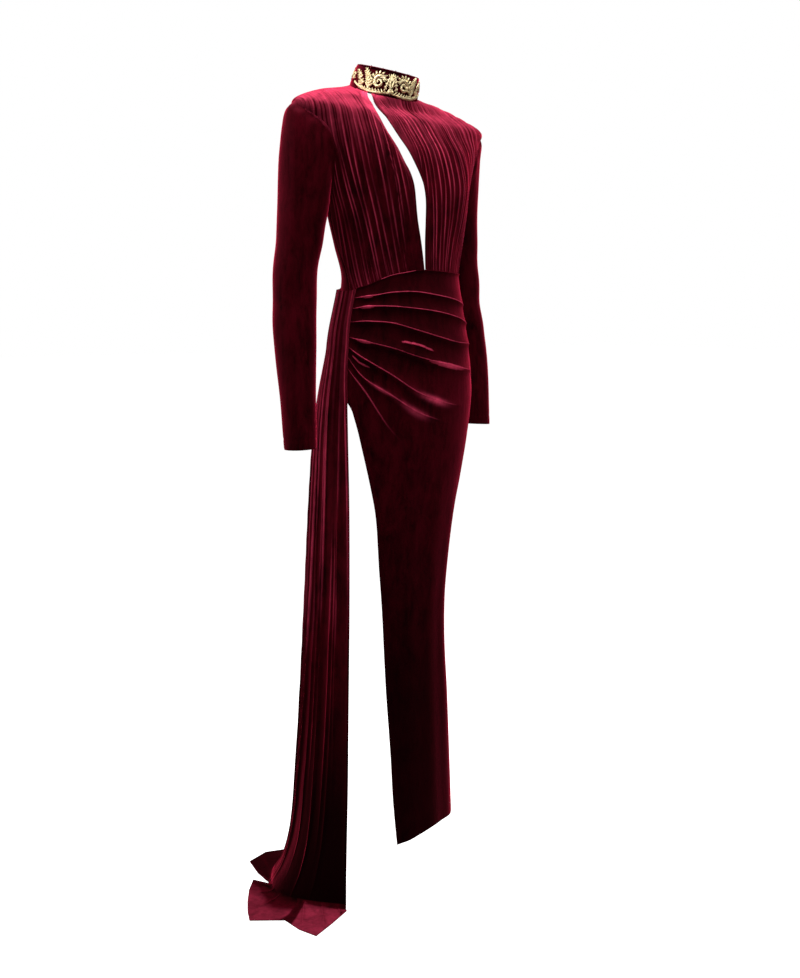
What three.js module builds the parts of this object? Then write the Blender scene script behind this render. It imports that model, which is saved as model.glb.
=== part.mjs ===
// Velvet evening gown, worn shape with nobody in it. Millimetres, +Z up.
// It faces -Y and the wearer's right is -X. The origin is the middle of the shoulder line,
// and every height below is measured from the floor that the train lies on.
import * as THREE from 'three';

const SHOULDER_LINE = 1560;      // height of the origin above the floor
const CLOTH = 2;                 // velvet wall
const TRAIN_CLOTH = 2.6;         // wall of the train, whose folds are steep
const SEAM = 0.3;                // space between pieces at a seam
const EDGE_SHIFT = 0.2;          // each side of a seam stands back by this much
const UNDER_SHIFT = 0.5;         // the skirt stands back a little more, for its longer facets
const NECK_LEVEL = 1585;         // form level of the neck edge
const SHOULDER_TIP = 1541;       // form level where the armhole starts
const DEGREE = Math.PI / 180;

const VELVET = { color: 0x5c0a1e, roughness: 0.78, metalness: 0 };
const GOLD_THREAD = { color: 0xc9a95c, roughness: 0.38, metalness: 0.6 };

// ---------------------------------------------------------------- tables and curves

function table(columns, rows) {
  return rows.map((row) => Object.fromEntries(columns.map((name, i) => [name, row[i]])));
}

// A smooth curve through the rows, read at any value of the key column.
function read(rows, key, value) {
  const last = rows.length - 1;
  const at = Math.min(Math.max(value, rows[0][key]), rows[last][key]);
  let low = 0;
  while (low < last - 1 && rows[low + 1][key] <= at) low += 1;
  const [a, b] = [rows[low], rows[low + 1]];
  const [before, after] = [rows[low - 1] ?? a, rows[low + 2] ?? b];
  const span = b[key] - a[key];
  const t = (at - a[key]) / span;
  const result = {};
  for (const name of Object.keys(a)) {
    const slopeA = (b[name] - before[name]) / (b[key] - before[key]);
    const slopeB = (after[name] - a[name]) / (after[key] - a[key]);
    result[name] = (2 * t ** 3 - 3 * t ** 2 + 1) * a[name] + (t ** 3 - 2 * t ** 2 + t) * span * slopeA
      + (3 * t ** 2 - 2 * t ** 3) * b[name] + (t ** 3 - t ** 2) * span * slopeB;
  }
  return result;
}

const mix = (a, b, t) => a + (b - a) * t;
const bell = (x, width) => Math.exp(-((x / width) ** 2));
const limit = (t) => Math.min(Math.max(t, 0), 1);
const smooth = (t) => limit(t) ** 2 * (3 - 2 * limit(t));
const point = (x, y, height) => new THREE.Vector3(x, y, height - SHOULDER_LINE);

// ---------------------------------------------------------------- the two body forms
// A point of a form is named by an angle round the body and a level. The angle is 0 at the
// wearer's right, 90 in front, 180 at the left and 270 behind.

const TORSO = table(
  ['level', 'x', 'y', 'side', 'front', 'back', 'bust', 'rake', 'shoulder', 'lean'], [
    [1185, 0, 0, 137, 101, 103, 0, 0, 0, 0],
    [1245, 0, 0, 127, 96, 93, 0, 0, 0, 0],
    [1305, -1, 4, 137, 102, 106, 3, 0, 0, 0],
    [1365, -3, 7, 149, 108, 113, 12, 0, 0, 0],
    [1420, -4, 9, 159, 109, 112, 18, 0, 0, 0],
    [1480, -5, 12, 185, 104, 107, 8, 2, 3, 0.035],
    [1520, -7, 17, 212, 90, 106, 1, 5, 5, 0.06],
    [1545, -8, 21, 219, 78, 102, 0, 8, 8, 0.07],
    [1565, -10, 29, 150, 62, 90, 0, 16, 8, 0.07],
    [1585, -12, 38, 68, 66, 66, 0, 21, 0, 0.05]]);
const BUST_ANGLE = 34;           // each side of centre front
const BUST_SPREAD = 20;

const SKIRT = table(['level', 'x', 'y', 'side', 'front', 'back'], [
  [90, 0, -5, 116, 81, 77],
  [126, 0, -5, 115, 80, 76],
  [270, 0, -5, 109, 77, 72],
  [400, 0, -5, 103, 74, 69],
  [510, -1, -5, 96, 73, 69],
  [600, -1, -5, 96, 74, 71],
  [680, -2, -5, 104, 80, 77],
  [760, -3, -4, 117, 88, 86],
  [840, -2, -3, 134, 95, 98],
  [920, 0, -1, 149, 104, 110],
  [1000, 2, 0, 159, 108, 120],
  [1050, 2, 0, 158, 108, 119],
  [1115, 1, 0, 150, 106, 113],
  [1185, 0, 0, 137, 101, 103],
  [1245, 0, 0, 127, 96, 93],
  [1265, 0, 0, 126, 96, 92]]);

function torso(angle, level) {
  const ring = read(TORSO, 'level', level);
  const across = Math.cos(angle * DEGREE);
  const forward = Math.sin(angle * DEGREE);
  const fromFront = Math.abs(angle - 90);
  const bust = ring.bust * bell(fromFront - BUST_ANGLE, BUST_SPREAD);
  const x = ring.x - ring.side * across;
  const y = ring.y - (forward > 0 ? ring.front : ring.back) * forward - bust;
  const rise = ring.rake * (1 - forward) + ring.shoulder * across ** 2 - ring.lean * x;
  return point(x, y, level + rise);
}

function hips(angle, level) {
  const ring = read(SKIRT, 'level', level);
  const forward = Math.sin(angle * DEGREE);
  const x = ring.x - ring.side * Math.cos(angle * DEGREE);
  const y = ring.y - (forward > 0 ? ring.front : ring.back) * forward;
  return point(x, y, level);
}

function outward(form, angle, level) {
  const step = 0.5;
  const round = form(angle + step, level).sub(form(angle - step, level));
  const up = form(angle, level + step).sub(form(angle, level - step));
  return round.cross(up).normalize();
}

// degrees of the form that measure a given width in mm
function degreesFor(width, form, angle, level) {
  return width / form(angle + 0.5, level).distanceTo(form(angle - 0.5, level));
}

// The waist seam dips to the wearer's right hip, where the skirt is drawn up.
const WAIST = table(['angle', 'level'], [
  [-90, 1236], [-50, 1226], [-20, 1216], [6, 1214], [17, 1217], [31, 1224], [42, 1234],
  [54, 1243], [66, 1248], [79, 1252.5], [93, 1252], [110, 1250], [130, 1248], [180, 1246],
  [230, 1241], [270, 1236], [310, 1226], [340, 1216], [366, 1214], [377, 1217]]);
const waist = (angle) => read(WAIST, 'angle', angle).level;

// ---------------------------------------------------------------- walls

// Joins an outer and an inner grid of points, both [row][column], into one closed wall.
function wall(outer, inner, closedRound = false) {
  const rows = outer.length;
  const columns = outer[0].length;
  const points = [...outer.flat(), ...inner.flat()];
  const faces = [];
  const quad = (a, b, c, d) => faces.push(a, b, c, a, c, d);
  const at = (layer, row, column) => layer * rows * columns + row * columns + (column % columns);
  const spans = closedRound ? columns : columns - 1;
  for (let r = 0; r < rows - 1; r += 1) {
    for (let c = 0; c < spans; c += 1) {
      quad(at(0, r, c), at(0, r, c + 1), at(0, r + 1, c + 1), at(0, r + 1, c));
      quad(at(1, r, c), at(1, r + 1, c), at(1, r + 1, c + 1), at(1, r, c + 1));
    }
  }
  for (let c = 0; c < spans; c += 1) {
    quad(at(0, 0, c + 1), at(0, 0, c), at(1, 0, c), at(1, 0, c + 1));
    quad(at(0, rows - 1, c), at(0, rows - 1, c + 1), at(1, rows - 1, c + 1), at(1, rows - 1, c));
  }
  if (!closedRound) {
    const end = columns - 1;
    for (let r = 0; r < rows - 1; r += 1) {
      quad(at(0, r, 0), at(0, r + 1, 0), at(1, r + 1, 0), at(1, r, 0));
      quad(at(0, r + 1, end), at(0, r, end), at(1, r, end), at(1, r + 1, end));
    }
  }
  return solid(points, faces);
}

// A closed mesh with its faces turned outwards, whichever side of the gown it was drawn for.
function solid(points, faces) {
  let volume = 0;
  const cross = new THREE.Vector3();
  for (let i = 0; i < faces.length; i += 3) {
    cross.crossVectors(points[faces[i + 1]], points[faces[i + 2]]);
    volume += points[faces[i]].dot(cross);
  }
  const order = volume < 0 ? faces.toReversed() : faces;
  const geometry = new THREE.BufferGeometry();
  geometry.setAttribute('position', new THREE.BufferAttribute(
    new Float32Array(points.flatMap((p) => p.toArray())), 3));
  geometry.setIndex(order);
  geometry.computeVertexNormals();
  return geometry;
}

// A bodice panel: place(u, v) gives the side angle and level, raise(u, v) lifts a gather.
function panel(side, columns, heights, place, raise) {
  const outer = [];
  const inner = [];
  for (const v of heights) {
    const outerRow = [];
    const innerRow = [];
    for (let c = 0; c <= columns; c += 1) {
      const u = c / columns;
      const { angle, level } = place(u, v);
      const base = torso(side.toForm(angle), level);
      const normal = outward(torso, side.toForm(angle), level);
      const lift = raise(u, v);
      outerRow.push(base.clone().addScaledVector(normal, lift));
      innerRow.push(base.clone().addScaledVector(normal, lift - CLOTH));
    }
    outer.push(outerRow);
    inner.push(innerRow);
  }
  return wall(outer, inner);
}

const steps = (count) => Array.from({ length: count + 1 }, (_, i) => i / count);

// An uneven, repeatable number from 0 to 1 for each gather or fold.
const uneven = (index) => Math.abs(Math.sin(index * 12.9898 + 4.1) * 43758.5453) % 1;

const gown = new THREE.Group();

function addNode(name, geometry, finish = VELVET) {
  const node = new THREE.Mesh(geometry, new THREE.MeshStandardMaterial(finish));
  node.name = name;
  gown.add(node);
}

// ---------------------------------------------------------------- armholes and sides
// Each side of the bodice is drawn with its own side angle: 0 at the side, growing forwards.

const SIDES = {
  right: { toForm: (angle) => angle, outwards: -1, armholeDepth: 141 },
  left: { toForm: (angle) => 180 - angle, outwards: 1, armholeDepth: 163 },
};

// The armhole edge, from the shoulder tip forwards and round. 'drop' is a share of its depth.
const ARMHOLE = table(['around', 'angle', 'drop'], [
  [-30, -19, 0.07], [0, -5, 0], [30, 10, 0.07], [55, 22, 0.16], [80, 26, 0.29],
  [110, 20, 0.5], [145, 9, 0.8], [180, -4, 1], [215, -17, 0.8], [250, -29, 0.5],
  [280, -35, 0.29], [305, -31, 0.16], [330, -19, 0.07], [360, -5, 0], [390, 10, 0.07]]);
const ARMHOLE_STEPS = 8;         // from the shoulder tip to the underarm, front or back

function armholePlace(side, around) {
  const edge = read(ARMHOLE, 'around', around);
  return { angle: edge.angle, level: SHOULDER_TIP - side.armholeDepth * edge.drop };
}

// The side seam, from the waist (0) to the underarm (1).
const SIDE_SEAM = table(['up', 'angle'], [[0, 6], [0.22, -3], [0.42, -9], [0.7, -11], [1, -4]]);
const SEAM_STEPS = 3;

function sideSeamPlace(side, up) {
  const { angle } = read(SIDE_SEAM, 'up', up);
  return { angle, level: mix(waist(side.toForm(angle)), SHOULDER_TIP - side.armholeDepth, up) };
}

// The shoulder seam runs along the top of the form, from the tip (0) to the neck (1).
const SHOULDER_SEAM = table(['along', 'angle', 'level'], [
  [0, -5, 1541], [0.12, -3.5, 1547], [0.42, -1.5, 1559], [0.72, -0.5, 1571], [1, 0, 1585]]);
const shoulderPlace = (along) => read(SHOULDER_SEAM, 'along', along);

const SIDE_ROWS = SEAM_STEPS + ARMHOLE_STEPS;

// The outer edge of a bodice panel: side seam, then the front or back half of the armhole.
function sideEdge(side, facing, v) {
  const share = SEAM_STEPS / SIDE_ROWS;
  if (v <= share) return sideSeamPlace(side, v / share);
  const round = 180 * (1 - (v - share) / (1 - share));
  return armholePlace(side, facing > 0 ? round : 360 - round);
}

// The top edge: shoulder seam, then the neck edge as far as the panel's own edge.
function topEdge(neckShare, neckEnd, u) {
  if (u <= 1 - neckShare) return shoulderPlace(u / (1 - neckShare));
  return { angle: neckEnd * (u - 1 + neckShare) / neckShare, level: NECK_LEVEL };
}

// Fills a front panel between its four edges. The columns are even at the waist and bunch towards
// the shoulder seam as they climb, as the top edge does.
function between(bottom, top, start, end) {
  const [topStart, topEnd] = [top(0), top(1)];
  const [bottomStart, bottomEnd] = [bottom(0), bottom(1)];
  return (u, v) => {
    const topShare = (top(u).angle - topStart.angle) / (topEnd.angle - topStart.angle);
    const across = mix(u, topShare, v ** 3);
    const topBend = top(u).level - mix(topStart.level, topEnd.level, topShare);
    const bottomBend = bottom(u).level - mix(bottomStart.level, bottomEnd.level, u);
    return {
      angle: mix(start(v).angle, end(v).angle, across),
      level: mix(start(v).level, end(v).level, across)
        + topBend * v ** 4 + bottomBend * (1 - v) ** 3,
    };
  };
}

// ---------------------------------------------------------------- bodice

// The two edges of the front slit, which starts right of the neck and ends at centre waist.
const SLIT_RIGHT = table(['up', 'angle', 'level'], [
  [0, 84.8, 1253], [0.16, 80.7, 1314], [0.27, 77.6, 1352], [0.38, 76, 1389], [0.48, 74.4, 1426],
  [0.58, 70.4, 1461], [0.68, 68.2, 1496], [0.82, 67.6, 1530], [0.91, 65.5, 1551],
  [1, 27, 1585]]);
const SLIT_LEFT = table(['up', 'angle', 'level'], [
  [0, 94.2, 1253], [0.16, 93.8, 1314], [0.27, 94, 1352], [0.38, 94.4, 1389], [0.48, 96.4, 1427],
  [0.58, 101.6, 1463], [0.68, 105.2, 1498], [0.82, 107.2, 1535], [0.91, 110, 1554],
  [1, 143, 1585]]);

// The edge of the open back, the same on both sides.
const BACK_EDGE = table(['level', 'angle'], [
  [1221, -28], [1290, -29], [1365, -31], [1425, -35], [1482, -43], [1522, -51], [1546, -57],
  [1568, -63], [1585, -68]]);

const FRONTS = {
  right: { gathers: 12, neckShare: 10 / 48, neckEnd: 27, edge: SLIT_RIGHT, depth: 2.4 },
  left: { gathers: 15, neckShare: 32 / 60, neckEnd: 143, edge: SLIT_LEFT, depth: 2.2 },
};
const COLUMNS_PER_GATHER = 4;

function bodiceFront(name) {
  const side = SIDES[name];
  const front = FRONTS[name];
  const columns = front.gathers * COLUMNS_PER_GATHER;
  const seam = sideSeamPlace(side, 0);
  const bottom = (u) => {
    const angle = mix(seam.angle, front.edge[0].angle, u);
    return { angle, level: waist(side.toForm(angle)) };
  };
  const place = between(bottom, (u) => topEdge(front.neckShare, front.neckEnd, u),
    (v) => sideEdge(side, 1, v), (v) => read(front.edge, 'up', v));
  const shifted = (u, v) => {
    const spot = place(u, v);
    const aside = u === 0 || (v === 1 && u <= 1 - front.neckShare);
    const turn = aside ? degreesFor(EDGE_SHIFT, torso, side.toForm(spot.angle), spot.level) : 0;
    return { angle: spot.angle + turn, level: spot.level + (v === 0 ? EDGE_SHIFT : 0) };
  };
  const raise = (u, v) => {
    const gather = Math.round(u * front.gathers);
    const wave = 0.5 - 0.5 * Math.cos(2 * Math.PI * u * front.gathers);
    const ends = mix(0.35, 1, smooth(v / 0.25)) * mix(0.4, 1, smooth((1 - v) / 0.2));
    const edges = smooth(u / 0.06) * smooth((1 - u) / 0.03);
    return front.depth * mix(0.55, 1, uneven(gather)) * wave * ends * edges;
  };
  addNode(`bodice_front_${name}`, panel(side, columns, steps(SIDE_ROWS), shifted, raise));
}

const SHOULDER_STEPS = 5;
const BODICE_BACK_COLUMNS = 10;

// Rows run level from the outer edge to the open back, and on up the shoulder seam to the neck.
function bodiceBack(name) {
  const side = SIDES[name];
  const rowCount = SIDE_ROWS + SHOULDER_STEPS;
  const outerEdge = (row) => (row <= SIDE_ROWS
    ? sideEdge(side, -1, row / SIDE_ROWS) : shoulderPlace((row - SIDE_ROWS) / SHOULDER_STEPS));
  const place = (u, v) => {
    const start = outerEdge(Math.round(v * rowCount));
    const even = mix(start.angle, read(BACK_EDGE, 'level', start.level).angle, u);
    const level = v === 0 ? waist(side.toForm(even)) + EDGE_SHIFT : start.level;
    const turn = u === 0 ? degreesFor(EDGE_SHIFT, torso, side.toForm(even), level) : 0;
    return { angle: even - turn, level };
  };
  addNode(`bodice_back_${name}`, panel(side, BODICE_BACK_COLUMNS, steps(rowCount), place, () => 0));
}

for (const name of ['right', 'left']) {
  bodiceFront(name);
  bodiceBack(name);
}

// ---------------------------------------------------------------- sleeves
// Rings from the armhole to the cuff. 'reach' is half the ring's width outwards, 'depth' half
// its width forwards, and 'tilt' turns the outward side up, as at the square shoulder.

const SLEEVE_COLUMNS = ['along', 'x', 'y', 'height', 'reach', 'depth', 'tilt'];
const SLEEVES = {
  right: table(SLEEVE_COLUMNS, [
    [0, -193, 24, 1483, 90, 52, 67],
    [0.03, -201, 26, 1477, 88, 52, 62],
    [0.08, -204, 28, 1461, 82, 52, 57],
    [0.15, -205.5, 31, 1434, 72, 51, 50],
    [0.22, -206, 35, 1402, 60, 50, 39],
    [0.3, -207.5, 39, 1362, 51, 48.5, 26],
    [0.38, -211, 42, 1315, 46.5, 46, 12],
    [0.46, -218, 44, 1266, 43.5, 44, 4],
    [0.54, -222.5, 43, 1209, 42, 42.5, 0],
    [0.64, -226, 38, 1148, 41.5, 42, -2],
    [0.76, -228, 31, 1078, 39.5, 40, -3],
    [0.88, -230, 21, 996, 34.5, 35, -3],
    [1, -231, 14, 914, 31.5, 32, -3]]),
  left: table(SLEEVE_COLUMNS, [
    [0, 181, 23, 1456, 84, 52, 67],
    [0.03, 185, 27, 1450, 81, 51, 64],
    [0.08, 184, 34, 1435, 74, 49, 60],
    [0.15, 184.5, 43, 1408, 63, 48, 51],
    [0.22, 186.5, 50, 1376, 51, 48, 37],
    [0.3, 188, 54, 1338, 44.5, 47, 20],
    [0.38, 190, 55, 1297, 42, 46, 8],
    [0.46, 193, 55, 1250, 41.5, 44.5, 3],
    [0.54, 198, 53, 1204, 41, 42.5, 0],
    [0.64, 205, 47, 1150, 40.5, 41, -2],
    [0.76, 209, 38, 1092, 38.5, 39, -3],
    [0.88, 211.5, 28, 1018, 34.5, 35, -3],
    [1, 212, 19, 942, 31.5, 32, -3]]),
};
const SLEEVE_COLUMNS_ROUND = ARMHOLE_STEPS * 2;
const HEAD_LENGTH = 0.2;         // share of the sleeve over which the armhole's shape fades

function sleeveRing(side, row, around) {
  const centre = point(row.x, row.y, row.height);
  const up = Math.sin(row.tilt * DEGREE) * row.reach;
  const out = Math.cos(row.tilt * DEGREE) * row.reach * side.outwards;
  const turn = around * DEGREE;
  const spoke = new THREE.Vector3(out, 0, up).multiplyScalar(Math.cos(turn))
    .add(new THREE.Vector3(0, -row.depth, 0).multiplyScalar(Math.sin(turn)));
  return { centre, spoke };
}

// How far the armhole edge lies from the first ring, and the way into the hole at that point.
function armholeEdge(side, middle, around) {
  const onEdge = (turn) => {
    const spot = armholePlace(side, turn);
    return torso(side.toForm(spot.angle), spot.level);
  };
  const spot = armholePlace(side, around);
  const edge = onEdge(around);
  const run = onEdge(around + 3).sub(onEdge(around - 3));
  const normal = outward(torso, side.toForm(spot.angle), spot.level);
  const inwards = run.cross(normal).normalize();
  if (inwards.dot(middle.clone().sub(edge)) < 0) inwards.negate();
  return { edge, normal, inwards };
}

function sleeve(name) {
  const side = SIDES[name];
  const rows = SLEEVES[name];
  const outer = [];
  const inner = [];
  for (const row of rows) {
    const outerRow = [];
    const innerRow = [];
    for (let c = 0; c < SLEEVE_COLUMNS_ROUND; c += 1) {
      const around = 360 * c / SLEEVE_COLUMNS_ROUND;
      const { centre, spoke } = sleeveRing(side, row, around);
      const first = sleeveRing(side, rows[0], around);
      const { edge, normal, inwards } = armholeEdge(side, first.centre, around);
      edge.addScaledVector(inwards, SEAM + EDGE_SHIFT);
      const offset = edge.clone().sub(first.centre).sub(first.spoke);
      const fade = Math.max(0, 1 - row.along / HEAD_LENGTH) ** 2;
      const skin = centre.clone().add(spoke).addScaledVector(offset, fade);
      const radial = skin.clone().sub(centre).normalize();
      const shared = row.along === 0 ? Math.max(0, normal.dot(radial)) ** 2 : 0;
      const thick = radial.multiplyScalar(1 - shared).addScaledVector(normal, shared).normalize();
      outerRow.push(skin);
      innerRow.push(skin.clone().addScaledVector(thick, -CLOTH));
    }
    outer.push(outerRow);
    inner.push(innerRow);
  }
  addNode(`sleeve_${name}`, wall(outer, inner, true));
}

sleeve('right');
sleeve('left');

// ---------------------------------------------------------------- collar

const COLLAR_RISE = new THREE.Vector3(0.5, -15, 39);   // from its base to its top edge
const COLLAR_TALLER_IN_FRONT = 3;
const COLLAR_TAPER = 6;
const COLLAR_COLUMNS = 44;
const COLLAR_ROWS = 2;
const COLLAR_SEAT = 0.8;         // its lower edge stands this far above the neck edge
const COLLAR_HEIGHT = COLLAR_RISE.length();
const COLLAR_RADIUS = 66;
const BACK_JOIN = 0.8;           // space where its ends meet at centre back, in degrees
const collarCentre = torso(0, NECK_LEVEL).add(torso(180, NECK_LEVEL)).multiplyScalar(0.5);

function collarPoint(angle, up) {
  const base = torso(angle, NECK_LEVEL);
  base.z += COLLAR_SEAT;
  const spoke = base.clone().sub(collarCentre);
  spoke.z = 0;
  spoke.normalize();
  base.z += COLLAR_TALLER_IN_FRONT * Math.sin(angle * DEGREE) * up;
  return base.addScaledVector(COLLAR_RISE, up).addScaledVector(spoke, -COLLAR_TAPER * up);
}

function collarNormal(angle, up) {
  const round = collarPoint(angle + 1, up).sub(collarPoint(angle - 1, up));
  const rise = collarPoint(angle, up + 0.02).sub(collarPoint(angle, up - 0.02));
  return round.cross(rise).normalize();
}

function collarBand() {
  const outer = [];
  const inner = [];
  for (const up of steps(COLLAR_ROWS)) {
    const angles = steps(COLLAR_COLUMNS).map((u) => mix(-90 + BACK_JOIN, 270 - BACK_JOIN, u));
    outer.push(angles.map((angle) => collarPoint(angle, up)));
    inner.push(angles.map((angle) => {
      const spoke = collarPoint(angle, up).sub(collarCentre);
      spoke.z = 0;
      return collarPoint(angle, up).addScaledVector(spoke.normalize(), -CLOTH);
    }));
  }
  addNode('collar', wall(outer, inner));
}

collarBand();

// ---------------------------------------------------------------- gold applique
// Motifs lie on the band's face. 'across' runs round the band in mm, 'up' from its lower edge.

const APPLIQUE_GAP = 0.35;
const APPLIQUE_THICK = 1.3;

function onCollar(middle, across, up, out) {
  const angle = middle + across / (COLLAR_RADIUS * DEGREE);
  const share = up / COLLAR_HEIGHT;
  return collarPoint(angle, share).addScaledVector(collarNormal(angle, share), out);
}

const SCROLL = {
  turns: 1.3, sections: 16, outerRadius: 12, innerRadius: 3.4, wide: 2.4, narrow: 1.5, up: 20,
};

// A scroll: a rounded cord that winds inwards, thick where it starts.
function scroll(name, middle, across, hand) {
  const rings = steps(SCROLL.sections).map((t) => {
    const radius = mix(SCROLL.outerRadius, SCROLL.innerRadius, t);
    const turn = Math.PI * (0.15 + 2 * SCROLL.turns * t);
    const half = mix(SCROLL.wide, SCROLL.narrow, t);
    const spot = (distance, out) => onCollar(middle,
      across + hand * Math.cos(turn) * distance, SCROLL.up + Math.sin(turn) * distance, out);
    return [
      spot(radius - half, APPLIQUE_GAP),
      spot(radius + half, APPLIQUE_GAP),
      spot(radius + half * 0.5, APPLIQUE_GAP + APPLIQUE_THICK),
      spot(radius - half * 0.5, APPLIQUE_GAP + APPLIQUE_THICK)];
  });
  const faces = [0, 1, 2, 0, 2, 3];
  for (let s = 0; s < SCROLL.sections; s += 1) {
    for (let k = 0; k < 4; k += 1) {
      const [a, b] = [s * 4 + k, s * 4 + (k + 1) % 4];
      faces.push(a, a + 4, b + 4, a, b + 4, b);
    }
  }
  const end = SCROLL.sections * 4;
  faces.push(end + 2, end + 1, end, end + 3, end + 2, end);
  addNode(name, solid(rings.flat(), faces), GOLD_THREAD);
}

// A leaf of pointed lobes, drawn round its middle: 'length' up, 'breadth' across.
function leaf(name, middle, across, up, { length, breadth, lobes, lean }) {
  const count = lobes * 4;
  const crown = onCollar(middle, across, up, APPLIQUE_GAP + APPLIQUE_THICK * 1.25);
  const under = onCollar(middle, across, up, APPLIQUE_GAP);
  const rim = (out, share) => steps(count).slice(0, count).map((t) => {
    const turn = 2 * Math.PI * t;
    const lobe = 0.74 + 0.26 * Math.cos(lobes * turn);
    const side = Math.sin(turn) * breadth / 2 * lobe * share;
    const along = Math.cos(turn) * length / 2 * lobe * share;
    return onCollar(middle, across + side + lean * along, up + along, out);
  });
  const points = [...rim(APPLIQUE_GAP, 1), ...rim(APPLIQUE_GAP + APPLIQUE_THICK, 0.88), under, crown];
  const faces = [];
  for (let i = 0; i < count; i += 1) {
    const next = (i + 1) % count;
    faces.push(2 * count, next, i);
    faces.push(2 * count + 1, count + i, count + next);
    faces.push(i, next, count + next, i, count + next, count + i);
  }
  addNode(name, solid(points, faces), GOLD_THREAD);
}

const FROND = { length: 33, breadth: 21, lobes: 9 };
const PALMETTE = { length: 30, breadth: 12, lobes: 6 };
const SCROLL_ACROSS = 22;
const FROND_ACROSS = 49;
const LEAF_UP = 20;
const REPEATS = { front: 64, back: 244 };   // angle of the middle of each repeat

for (const [name, middle] of Object.entries(REPEATS)) {
  leaf(`motif_${name}_palmette`, middle, 0, LEAF_UP, { ...PALMETTE, lean: 0 });
  for (const [hand, label] of [[-1, 'a'], [1, 'b']]) {
    scroll(`motif_${name}_scroll_${label}`, middle, hand * SCROLL_ACROSS, -hand);
    leaf(`motif_${name}_frond_${label}`, middle, hand * FROND_ACROSS, LEAF_UP,
      { ...FROND, lean: hand * 0.18 });
  }
}

// ---------------------------------------------------------------- skirt
// The front is drawn up into folds at the right hip, and opens below its apex as a leg slit.

// The right-hand edge of the front: the hip seam, then the edge of the slit.
const FRONT_EDGE = table(['level', 'angle'], [
  [106, 57.5], [199, 52.4], [282, 49.5], [405, 43.4], [526, 36.5], [608, 34], [690, 34.4],
  [771, 35.4], [851, 32.6], [930, 27.3], [1004, 18.3], [1054, 17.4], [1117, 16.4],
  [1142, 15.8], [1184, 15.8], [1217, 17]]);
const frontEdgeAngle = (level) => read(FRONT_EDGE, 'level', level).angle;

// Ridge lines of the hip folds: a row for each fold, with its level at these angles.
const FOLD_ANGLES = [17, 35, 55, 75, 95, 115, 145, 180];
const FOLDS = table(['levels', 'depth', 'endAngle'], [
  [[1203, 1207, 1214, 1215, 1209, 1202, 1190, 1182], 5.0, 150],
  [[1183, 1187, 1187, 1183, 1177, 1168, 1153, 1142], 5.5, 155],
  [[1157, 1158, 1155, 1142, 1128, 1117, 1112, 1104], 5.5, 150],
  [[1127, 1119, 1108, 1091, 1078, 1068, 1058, 1050], 5.5, 130],
  [[1108, 1085, 1057, 1023, 1003, 992, 980, 968], 5.5, 108],
  [[1088, 1048, 1018, 985, 966, 950, 930, 915], 5.0, 92],
  [[1068, 1023, 950, 905, 888, 878, 866, 855], 4.5, 62]]);
const ROWS_PER_FOLD = 4;

function foldLevel(fold, angle) {
  const rows = FOLD_ANGLES.map((at, i) => ({ angle: at, level: fold.levels[i] }));
  return read(rows, 'angle', angle).level;
}

// Below the folds: level of each row at the front edge and at the left side seam.
const LOWER_ROWS = table(['edge', 'seam'], [
  [1036, 825], [1004, 790], [960, 750], [910, 705], [850, 655], [770, 595],
  [680, 525], [580, 450], [470, 370], [350, 290], [230, 210], [106, 134]]);
const HEM = table(['angle', 'level'], [
  [57, 108], [70, 114], [84, 122], [104, 132], [142, 136], [180, 134], [250, 128]]);
const hem = (angle) => read(HEM, 'angle', angle).level;
const LEFT_SEAM = 180;
const SKIRT_COLUMNS = 18;

// Every row of the front: its level at an angle, where it starts, and how far it stands out.
function skirtFrontRows() {
  const rows = [];
  const flat = () => 0;
  rows.push({ level: (angle) => waist(angle) - UNDER_SHIFT, start: 1217, lift: () => 1.2 });
  const lines = [(angle) => waist(angle), ...FOLDS.map((fold) => (angle) => foldLevel(fold, angle))];
  lines.slice(1).forEach((line, i) => {
    const above = lines[i];
    const fold = FOLDS[i];
    for (let k = 1; k <= ROWS_PER_FOLD; k += 1) {
      const t = k / ROWS_PER_FOLD;
      const previous = i > 0 ? FOLDS[i - 1].depth : 1.2;
      const lift = (angle) => {
        const fade = 1 - smooth((angle - fold.endAngle + 45) / 60);
        const wave = 0.5 + 0.5 * Math.cos(2 * Math.PI * t);
        const peak = mix(previous, fold.depth, t);
        return 1 + wave * peak * fade * mix(0.55, 1, smooth((angle - 17) / 12));
      };
      rows.push({ level: (angle) => mix(above(angle), line(angle), t),
        start: mix(above(17), line(17), t), lift });
    }
  });
  const last = LOWER_ROWS.length - 1;
  LOWER_ROWS.forEach((row, i) => {
    const startAngle = frontEdgeAngle(row.edge);
    const level = i === last ? hem
      : (angle) => mix(row.edge, row.seam, smooth((angle - startAngle) / (LEFT_SEAM - startAngle)));
    const settle = 1 - i / last;
    rows.push({ level, start: row.edge, lift: i > 3 ? flat : () => settle * 0.8 });
  });
  return rows;
}

function skirtFront() {
  const outer = [];
  const inner = [];
  for (const row of skirtFrontRows()) {
    const startAngle = frontEdgeAngle(row.start);
    const outerRow = [];
    const innerRow = [];
    for (const u of steps(SKIRT_COLUMNS)) {
      const even = mix(startAngle, LEFT_SEAM, u);
      const gap = degreesFor(EDGE_SHIFT, hips, even, row.start);
      const angle = even + (u === 0 ? gap : 0) - (u === 1 ? gap : 0);
      const level = row.level(angle);
      const normal = outward(hips, angle, level);
      const lift = row.lift(angle) * (1 - smooth((angle - 160) / 20));
      outerRow.push(hips(angle, level).addScaledVector(normal, lift));
      innerRow.push(hips(angle, level).addScaledVector(normal, lift - CLOTH));
    }
    outer.push(outerRow);
    inner.push(innerRow);
  }
  addNode('skirt_front', wall(outer, inner));
}

skirtFront();

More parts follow.
